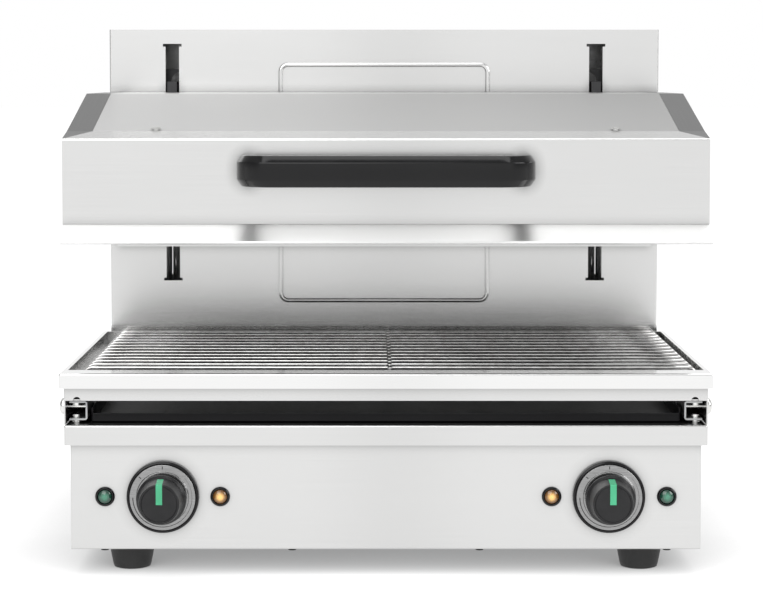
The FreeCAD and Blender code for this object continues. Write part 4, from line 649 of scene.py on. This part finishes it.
def makeMarks():
    # generic printed marks: two short ticks and a wedge that grows clockwise
    m = markLook
    shape = bmesh.new()
    near = panelY - dialShape["discFront"] - m["depth"]
    far = panelY - dialShape["discFront"] + m["depth"]

    def patch(strip, x):
        # a closed thin strip through pairs of (angle, radius) spots, angles clockwise from the top
        rows = []
        for pair in strip:
            row = []
            for y in (near, far):
                for angle, radius in pair:
                    turn = math.radians(angle)
                    spot = (x + radius * math.sin(turn), y, controlZ + radius * math.cos(turn))
                    row.append(shape.verts.new(spot))
            rows.append(row)
        for first, second in zip(rows, rows[1:]):
            for here, there in ((0, 1), (1, 3), (3, 2), (2, 0)):
                shape.faces.new((first[here], first[there], second[there], second[here]))
        for row in (rows[0], rows[-1]):
            shape.faces.new((row[0], row[1], row[3], row[2]))

    for sign in (-1, 1):
        for angle in m["tickAngles"]:
            half = math.degrees(m["tickWidth"] / 2 / m["tickInner"])
            patch([((angle - half, m["tickInner"]), (angle + half, m["tickInner"])),
                   ((angle - half, m["tickOuter"]), (angle + half, m["tickOuter"]))], dialX * sign)
        wedge = []
        for step in range(m["wedgeSteps"] + 1):
            share = step / m["wedgeSteps"]
            angle = m["wedgeStart"] + (m["wedgeEnd"] - m["wedgeStart"]) * share
            half = (m["wedgeThin"] + (m["wedgeThick"] - m["wedgeThin"]) * share) / 2
            wedge.append(((angle, m["wedgeRadius"] - half), (angle, m["wedgeRadius"] + half)))
        patch(wedge, dialX * sign)
    finishPiece("dialMarks", meshFrom("dialMarks", shape), "markInk", "left_dial", smooth=0)


makeDials()
makeMarks()
print("dials made")


# Lamps: a black dished bezel with a domed lens in it

lampShape = {"outer": 9.15 * mm, "height": 2.6 * mm, "inner": 6.7 * mm, "tuck": 0.6 * mm, "foot": 0.2 * mm,
             "shoulder": 1.1 * mm, "shoulderRounding": 0.6 * mm, "slope": 1.1 * mm, "slopeRounding": 0.5 * mm,
             "mouth": 0.5 * mm, "mouthRounding": 0.4 * mm, "well": 1.2 * mm, "wellTuck": 0.3 * mm,
             "wellRounding": 0.2 * mm, "roundSteps": 4, "segments": 48}
lensShape = {"radius": 6.6 * mm, "wall": 1.2 * mm, "rounding": 1.4 * mm, "roundedTo": -60, "roundSteps": 4,
             "shoulder": 2.6 * mm, "apex": 4.6 * mm, "curve": 1.7, "shares": (0.72, 0.56, 0.4, 0.24, 0.1)}


def lampCentres(node):
    # the two lamps of a node, one at each side
    x = highOf(node).x - (highOf(node).z - lowOf(node).z) / 2
    return (-x, x)


def makeLamps():
    lamp, lens = lampShape, lensShape
    bezel = rounded([(lamp["inner"] - lamp["tuck"], 0, 0), (lamp["outer"], 0, lamp["foot"]),
                     (lamp["outer"], -lamp["shoulder"], lamp["shoulderRounding"]),
                     (lamp["outer"] - lamp["slope"], -lamp["height"], lamp["slopeRounding"]),
                     (lamp["inner"] + lamp["mouth"], -lamp["height"], lamp["mouthRounding"]),
                     (lamp["inner"] - lamp["wellTuck"], -lamp["well"], lamp["wellRounding"])],
                    lamp["roundSteps"])
    shape = bmesh.new()
    for node in ("green_lenses", "amber_lenses"):
        for x in lampCentres(node):
            addControl(shape, bezel, x, lamp["segments"])
    piece = finishPiece("lampRings", meshFrom("lampRings", shape), "glossPlastic", "lamp_bezels", smooth=40)
    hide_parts("lamp_bezels")
    outline = [(0, 0), (lens["radius"], 0)]
    outline += arc((lens["radius"] - lens["rounding"], -lens["wall"]), lens["rounding"], 0, lens["roundedTo"],
                   lens["roundSteps"])
    rise = lens["apex"] - lens["shoulder"]
    for share in lens["shares"]:
        outline.append((lens["radius"] * share, -lens["apex"] + rise * share ** lens["curve"]))
    outline += [(0, -lens["apex"])]
    for node, finish in (("green_lenses", "greenLens"), ("amber_lenses", "amberLens")):
        shape = bmesh.new()
        shape.verts.layers.float.new("reach")
        for x in lampCentres(node):
            addControl(shape, outline, x, lamp["segments"], lens["radius"])
        piece = finishPiece(finish + "es", meshFrom(node, shape), finish, node, smooth=25)
        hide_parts(node)


makeLamps()
print("lamps made")


# Handle: a bow with chamfered outer edges, swept round two bends

handleLook = {"width": 275 * mm, "height": 29 * mm, "reach": 42 * mm, "thickness": 17 * mm, "bend": 26 * mm,
              "bendSteps": 14, "crown": 6.5 * mm, "crownDepth": 4.5 * mm, "edge": 2.2 * mm,
              "innerRounding": 3 * mm, "roundSteps": 5}


def addSweep(shape, path, section):
    # path points are (place, sideways, upwards); the section's (x, y) go along sideways and upwards
    rings = [[shape.verts.new(place + side * x + up * y) for x, y in section] for place, side, up in path]
    for first, second in zip(rings, rings[1:]):
        for number in range(len(section)):
            ahead = (number + 1) % len(section)
            shape.faces.new((first[number], first[ahead], second[ahead], second[number]))
    shape.faces.new(rings[0])
    shape.faces.new(rings[-1])


def makeHandle():
    h = handleLook
    half = h["width"] / 2 - h["thickness"] / 2
    centreZ = middleOf("handle", "z")
    outY = headY - h["reach"] + h["thickness"] / 2
    bend = h["bend"]
    up = Vector((0, 0, 1))
    path = [(Vector((-half, headY, centreZ)), Vector((-1, 0, 0)), up)]
    for sign, first in ((-1, 180), (1, 270)):
        middle = Vector(((half - bend) * sign, outY + bend, centreZ))
        for step in range(h["bendSteps"] + 1):
            angle = math.radians(first + 90 * step / h["bendSteps"])
            out = Vector((math.cos(angle), math.sin(angle), 0))
            path.append((middle + out * bend, out, up))
    path.append((Vector((half, headY, centreZ)), Vector((1, 0, 0)), up))
    thick, high = h["thickness"] / 2, h["height"] / 2
    crown, deep, edge, inner = h["crown"], h["crownDepth"], h["edge"], h["innerRounding"]
    section = rounded([(-thick, -high, inner), (thick - deep, -high, edge), (thick, -high + crown, edge),
                       (thick, high - crown, edge), (thick - deep, high, edge), (-thick, high, inner)],
                      h["roundSteps"])
    shape = bmesh.new()
    addSweep(shape, path, section)
    piece = finishPiece("bowHandle", meshFrom("bowHandle", shape), "glossPlastic", "handle", smooth=40)
    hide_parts("handle")


makeHandle()
print("handle made")


# Geometry Nodes helper: a tree with named sizes, grown into one plain mesh

class Grower:
    def __init__(self, name, sizes):
        self.tree = bpy.data.node_groups.new(name, "GeometryNodeTree")
        self.tree.interface.new_socket("Geometry", in_out="OUTPUT", socket_type="NodeSocketGeometry")
        self.sizes = sizes
        self.identifiers = {}
        for label, value in sizes.items():
            kind = "NodeSocketInt" if isinstance(value, int) else "NodeSocketFloat"
            socket = self.tree.interface.new_socket(label, in_out="INPUT", socket_type=kind)
            self.identifiers[label] = socket.identifier
        source = self.tree.nodes.new("NodeGroupInput")
        self.inputs = {label: Field(self.tree, source.outputs[label]) for label in sizes}
        self.start = Field(self.tree)

    def node(self, kind, settings=None, values=None):
        return self.start.node(kind, settings, values)

    def point(self, x, y, z):
        return self.node("ShaderNodeCombineXYZ", None, {0: x, 1: y, 2: z})

    def join(self, members):
        return self.node("GeometryNodeJoinGeometry", None, {0: members})

    def grow(self, name, geometry, finish):
        # realizes the instances, sets the material and returns the plain mesh
        solid = self.node("GeometryNodeRealizeInstances", None, {0: geometry})
        painted = self.node("GeometryNodeSetMaterial", None, {0: solid, "Material": materials[finish]})
        sink = self.tree.nodes.new("NodeGroupOutput")
        self.tree.links.new(painted.socket, sink.inputs[0])
        host = addToScene(name, bpy.data.meshes.new(name))
        modifier = host.modifiers.new(name, "NODES")
        modifier.node_group = self.tree
        for label, value in self.sizes.items():
            modifier[self.identifiers[label]] = value
        graph = bpy.context.evaluated_depsgraph_get()
        mesh = bpy.data.meshes.new_from_object(host.evaluated_get(graph))
        host.modifiers.remove(modifier)
        bpy.data.objects.remove(host)
        return mesh


# Grate: cross wires bent down at both ends, a spine under them and a weld at each crossing

grateWire = 4 * mm
grateSizes = {"wire": grateWire, "spine": 5 * mm, "count": 13, "pitch": 25.5 * mm, "firstY": panelY + 33 * mm,
              "leftX": lowOf("grate").x + grateWire / 2, "rightX": highOf("grate").x - grateWire / 2,
              "topZ": highOf("grate").z - grateWire / 2, "endZ": lowOf("grate").z, "bend": 9 * mm,
              "spineX": 3.8 * mm, "spineBend": 5 * mm, "weld": 2.9 * mm}
grateDetail = {"sides": 14, "bendSteps": 7, "beadRounds": 2, "beadScale": (1.0, 1.6, 0.74),
               "beadSink": 1 / 20, "spineOverlap": 1 / 4}       # the last two are shares of a wire


def makeGrate():
    g = Grower("grateWires", grateSizes)
    size, detail = g.inputs, grateDetail

    def ring(width):
        return g.node("GeometryNodeCurvePrimitiveCircle", None,
                      {"Resolution": detail["sides"], "Radius": width / 2})

    def bentRod(points, bend, profile):
        outline = g.node("GeometryNodeCurvePrimitiveQuadrilateral", {"mode": "POINTS"},
                         {"Point %d" % (number + 1): point for number, point in enumerate(points)})
        opened = g.node("GeometryNodeSetSplineCyclic", None, {"Geometry": outline, "Cyclic": False})
        bent = g.node("GeometryNodeFilletCurve", {"mode": "POLY"},
                      {"Curve": opened, "Radius": bend, "Count": detail["bendSteps"]})
        return g.node("GeometryNodeCurveToMesh", None,
                      {"Curve": bent, "Profile Curve": profile, "Fill Caps": True})

    wire = bentRod([g.point(size["leftX"], 0, size["endZ"]), g.point(size["leftX"], 0, size["topZ"]),
                    g.point(size["rightX"], 0, size["topZ"]), g.point(size["rightX"], 0, size["endZ"])],
                   size["bend"], ring(size["wire"]))
    row = g.node("GeometryNodeMeshLine", None,
                 {"Count": size["count"], "Start Location": g.point(0, size["firstY"], 0),
                  "Offset": g.point(0, size["pitch"], 0)})
    wires = g.node("GeometryNodeInstanceOnPoints", None, {"Points": row, "Instance": wire})
    spineZ = size["topZ"] - size["wire"] * detail["spineOverlap"] - size["spine"] / 2
    reach = size["pitch"] * (size["count"] - 1)
    nearY = size["firstY"] - size["wire"]
    spine = bentRod([g.point(size["spineX"], nearY, size["endZ"]), g.point(size["spineX"], nearY, spineZ),
                     g.point(size["spineX"], size["firstY"] + reach / 2, spineZ),
                     g.point(size["spineX"], size["firstY"] + reach + size["wire"], spineZ)],
                    size["spineBend"], ring(size["spine"]))
    bead = g.node("GeometryNodeMeshIcoSphere", None,
                  {"Radius": size["weld"], "Subdivisions": detail["beadRounds"]})
    beadZ = size["topZ"] - size["wire"] * detail["beadSink"]
    spots = g.node("GeometryNodeTransform", None,
                   {"Geometry": row, "Translation": g.point(size["spineX"], 0, beadZ)})
    welds = g.node("GeometryNodeInstanceOnPoints", None,
                   {"Points": spots, "Instance": bead, "Scale": g.point(*detail["beadScale"])})
    mesh = g.grow("grateWires", g.join([wires, spine, welds]), "wireChrome")
    piece = finishPiece("grateWires", mesh, "wireChrome", "grate", smooth=40)
    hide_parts("grate")


makeGrate()
print("grate made")


# Screws: a smooth dome with a flat seat and a plain shank, grown in left and right pairs

screwSets = {
    "head_screws": {"radius": 4.75 * mm, "rise": 3 * mm, "pairs": [
        {"x": 216 * mm, "y": headY + 41 * mm, "z": 417 * mm, "tilt": 12.4, "length": 10 * mm},
        {"x": 270 * mm, "y": headY + 230 * mm, "z": 450 * mm, "tilt": 0, "length": 10 * mm},
        {"x": 129 * mm, "y": headY + 1.2 * mm, "z": 381 * mm, "tilt": -90, "length": 11.2 * mm}]},
    "base_screws": {"radius": 3.75 * mm, "rise": 3 * mm, "pairs": [
        {"x": 264 * mm, "y": panelY + 8 * mm, "z": 25 * mm, "tilt": 180, "length": 10 * mm},
        {"x": 88 * mm, "y": panelY + 8 * mm, "z": 25 * mm, "tilt": 180, "length": 10 * mm}]},
}
screwDetail = {"finish": "zincPlate", "shank": 2.5 * mm, "domePower": 0.8, "segments": 36, "rings": 20,
               "sides": 24}


def growScrewPair(name, sizes):
    detail = screwDetail
    g = Grower(name, sizes)
    size = g.inputs
    ball = g.node("GeometryNodeMeshUVSphere", None,
                  {"Segments": detail["segments"], "Rings": detail["rings"], "Radius": 1.0})
    spot = g.node("GeometryNodeInputPosition")
    height = spot.part("Z").maths("MAXIMUM", 0) ** detail["domePower"]
    lifted = g.point(spot.part("X") * size["radius"], spot.part("Y") * size["radius"], height * size["rise"])
    dome = g.node("GeometryNodeSetPosition", None, {"Geometry": ball, "Position": lifted})
    shank = g.node("GeometryNodeMeshCylinder", None,
                   {"Vertices": detail["sides"], "Radius": size["shank"], "Depth": size["length"]})
    sunk = g.node("GeometryNodeTransform", None,
                  {"Geometry": shank, "Translation": g.point(0, 0, -size["length"] / 2)})
    row = g.node("GeometryNodeMeshLine", None,
                 {"Count": size["count"], "Start Location": g.point(-size["x"], size["y"], size["z"]),
                  "Offset": g.point(size["x"] * 2, 0, 0)})
    screws = g.node("GeometryNodeInstanceOnPoints", None,
                    {"Points": row, "Instance": g.join([dome, sunk]),
                     "Rotation": g.point(size["tilt"], 0, 0)})
    return g.grow(name, screws, detail["finish"])


def makeScrews(node, plan):
    shape = bmesh.new()
    for number, pair in enumerate(plan["pairs"]):
        sizes = {**pair, "tilt": math.radians(pair["tilt"]), "radius": plan["radius"], "rise": plan["rise"],
                 "shank": screwDetail["shank"], "count": 2}
        shape.from_mesh(growScrewPair("%sPair%d" % (node, number), sizes))
    return meshFrom(node, shape)


for node, plan in screwSets.items():
    piece = finishPiece(node + "Grown", makeScrews(node, plan), screwDetail["finish"], node, smooth=35)
    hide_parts(node)
print("screws made")


# Side studs: a shallow dome over a short drum, on a pin that crosses to the channel

studShape = {"radius": 7.75 * mm, "drum": 4.2 * mm, "reach": 8 * mm, "edge": 0.5 * mm, "pin": 2 * mm,
             "pinInward": 15.2 * mm, "domeStep": 9, "segments": 48}


def makeStuds():
    stud = studShape
    outer = highOf("side_studs").x
    wall = outer - stud["reach"]
    inner = highOf("side_channels").x - stud["pinInward"]
    profile = [(0, inner), (stud["pin"], inner), (stud["pin"], wall), (stud["radius"] - stud["edge"], wall),
               (stud["radius"], wall + stud["edge"])]
    rise = stud["reach"] - stud["drum"]
    for degrees in range(0, 90, stud["domeStep"]):
        angle = math.radians(degrees)
        profile.append((stud["radius"] * math.cos(angle), wall + stud["drum"] + rise * math.sin(angle)))
    profile.append((0, outer))
    centre = (0, middleOf("side_studs", "y"), middleOf("side_studs", "z"))
    shape = bmesh.new()
    for sign in (-1, 1):
        outline = [(radius, along * sign) for radius, along in profile]
        addLathe(shape, outline, centre, "x", stud["segments"])
    piece = finishPiece("domedStuds", meshFrom("domedStuds", shape), "zincPlate", "side_studs", smooth=35)
    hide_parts("side_studs")


makeStuds()
print("studs made")


# Stage: floor, world, lamps and camera

cameraLook = {"sensor": 36, "focal": 2336.2, "width": 763, "height": 600,      # all but the sensor in pixels
              "horizon": 74.6, "axisX": 372,                                   # pixels from the top and left
              "x": -13 * mm, "distance": 2166 * mm, "z": 469 * mm, "pitch": 3.4, "near": 0.05, "far": 200}
lampPlan = [
    {"name": "frontSoftbox", "place": (-1.1, -2.6, 2.3), "aim": (0, 0, 0.25), "size": (2.6, 2.6),
     "power": 44},
    {"name": "rightSoftbox", "place": (2.4, -1.0, 1.5), "aim": (0, 0, 0.25), "size": (1.6, 1.6),
     "power": 26},
    {"name": "topSoftbox", "place": (0.2, 0.6, 2.8), "aim": (0, 0, 0.2), "size": (2.2, 2.2), "power": 30},
    {"name": "stripLight", "place": (0, -0.9, 2.6), "aim": (0, -0.2, 0.3), "size": (2.4, 0.5), "power": 9},
]
# reach, depth, lean and samples shape the painted shadow under the object
floorLook = {"half": 30, "tone": 0.86, "glow": 0.72, "strength": 1.32, "mirrored": 0.8, "reach": 0.16,
             "depth": 1.2, "lean": 1.7, "samples": 32}
worldLook = {"diffuse": 0.62, "zenith": 0.55, "zenithAt": 0.42, "zenithWidth": 0.6, "top": 0.6, "topAt": 0.86,
             "topWidth": 0.12, "side": 0.35, "sideAt": 0.72, "sideWidth": 0.3}


def rayKinds(start):
    # 1 for rays from the camera, off glossy faces and through clear ones
    path = start.tree.nodes.new("ShaderNodeLightPath")
    names = ("Is Camera Ray", "Is Glossy Ray", "Is Transmission Ray")
    return [Field(start.tree, path.outputs[name]) for name in names]


def makeFloor():
    look = floorLook
    half, tone = look["half"], look["tone"]
    shape = bmesh.new()
    corners = [shape.verts.new((x * half, y * half, 0)) for x, y in ((-1, -1), (1, -1), (1, 1), (-1, 1))]
    shape.faces.new(corners)
    mesh = meshFrom("studioFloor", shape, False)
    floor = addToScene("studioFloor", mesh)
    material = bpy.data.materials.new("palePaper")
    material.use_nodes = True
    tree = material.node_tree
    start = Field(tree)
    camera, glossy, through = rayKinds(start)
    matte = start.node("ShaderNodeBsdfDiffuse", None, {"Color": (tone, tone, tone, 1)})
    lean = start.node("ShaderNodeCombineXYZ", None, {0: 0, 1: -look["lean"], 2: 1})
    leaned = start.node("ShaderNodeVectorMath", {"operation": "NORMALIZE"}, {0: lean})
    # the floor's glow for camera rays is darkened by ambient occlusion leaned to the front: a painted shadow
    # under the object
    paintedShadowOpenness = start.node("ShaderNodeAmbientOcclusion", {"samples": look["samples"]},
                          {"Distance": look["reach"], "Normal": leaned}, "AO")
    strength = camera.spread(1.0, look["strength"]) * (1 - camera * (1 - paintedShadowOpenness ** look["depth"]))
    glow = start.node("ShaderNodeEmission", None, {"Color": (1, 1, 1, 1), "Strength": strength})
    mirrored = start.maths("MAXIMUM", glossy, through) * look["mirrored"]
    seen = camera * look["glow"] + (1 - camera) * mirrored
    mixed = start.node("ShaderNodeMixShader", None, {0: seen, 1: matte, 2: glow})
    tree.links.new(mixed.socket, tree.nodes["Material Output"].inputs["Surface"])
    tree.nodes.remove(tree.nodes["Principled BSDF"])
    mesh.materials.append(material)


def makeWorld():
    look = worldLook
    world = bpy.data.worlds.new("studioWorld")
    bpy.context.scene.world = world
    world.use_nodes = True
    tree = world.node_tree
    start = Field(tree)
    camera, glossy = rayKinds(start)[:2]
    direction = start.node("ShaderNodeTexCoord", out="Generated")
    height = direction.part("Z")
    overhead = height.above(look["zenithAt"], look["zenithWidth"])
    sideways = abs(direction.part("X")).above(look["sideAt"], look["sideWidth"])
    steep = height.above(look["topAt"], look["topWidth"])
    mirror = (1 - overhead * (1 - look["zenith"])) * (1 - sideways * (1 - look["side"]))
    mirror = mirror * (1 - steep * (1 - look["top"]))
    strength = camera + (1 - camera) * (glossy * mirror + (1 - glossy) * look["diffuse"])
    background = tree.nodes["Background"]
    background.inputs["Color"].default_value = (1, 1, 1, 1)
    tree.links.new(strength.socket, background.inputs["Strength"])


def makeLights():
    for plan in lampPlan:
        light = bpy.data.lights.new(plan["name"], "AREA")
        light.shape = "RECTANGLE"
        light.size, light.size_y = plan["size"]
        light.energy = plan["power"]
        holder = addToScene(plan["name"], light)
        place = Vector(plan["place"])
        holder.location = place
        holder.rotation_euler = (Vector(plan["aim"]) - place).to_track_quat("-Z", "Y").to_euler()


def makeCamera():
    look = cameraLook
    data = bpy.data.cameras.new("photoCamera")
    data.sensor_width = look["sensor"]
    data.lens = look["sensor"] * look["focal"] / look["width"]
    lowered = math.tan(math.radians(look["pitch"])) * look["focal"]
    data.shift_x = (look["width"] / 2 - look["axisX"]) / look["width"]
    data.shift_y = (look["horizon"] - look["height"] / 2 + lowered) / look["width"]
    data.clip_start = look["near"]
    data.clip_end = look["far"]
    camera = addToScene("photoCamera", data)
    camera.location = (look["x"], panelY - look["distance"], look["z"])
    camera.rotation_euler = (math.radians(90 - look["pitch"]), 0, 0)
    bpy.context.scene.camera = camera


makeFloor()
makeWorld()
makeLights()
makeCamera()
bpy.context.scene.view_settings.view_transform = "Standard"
print("stage made")
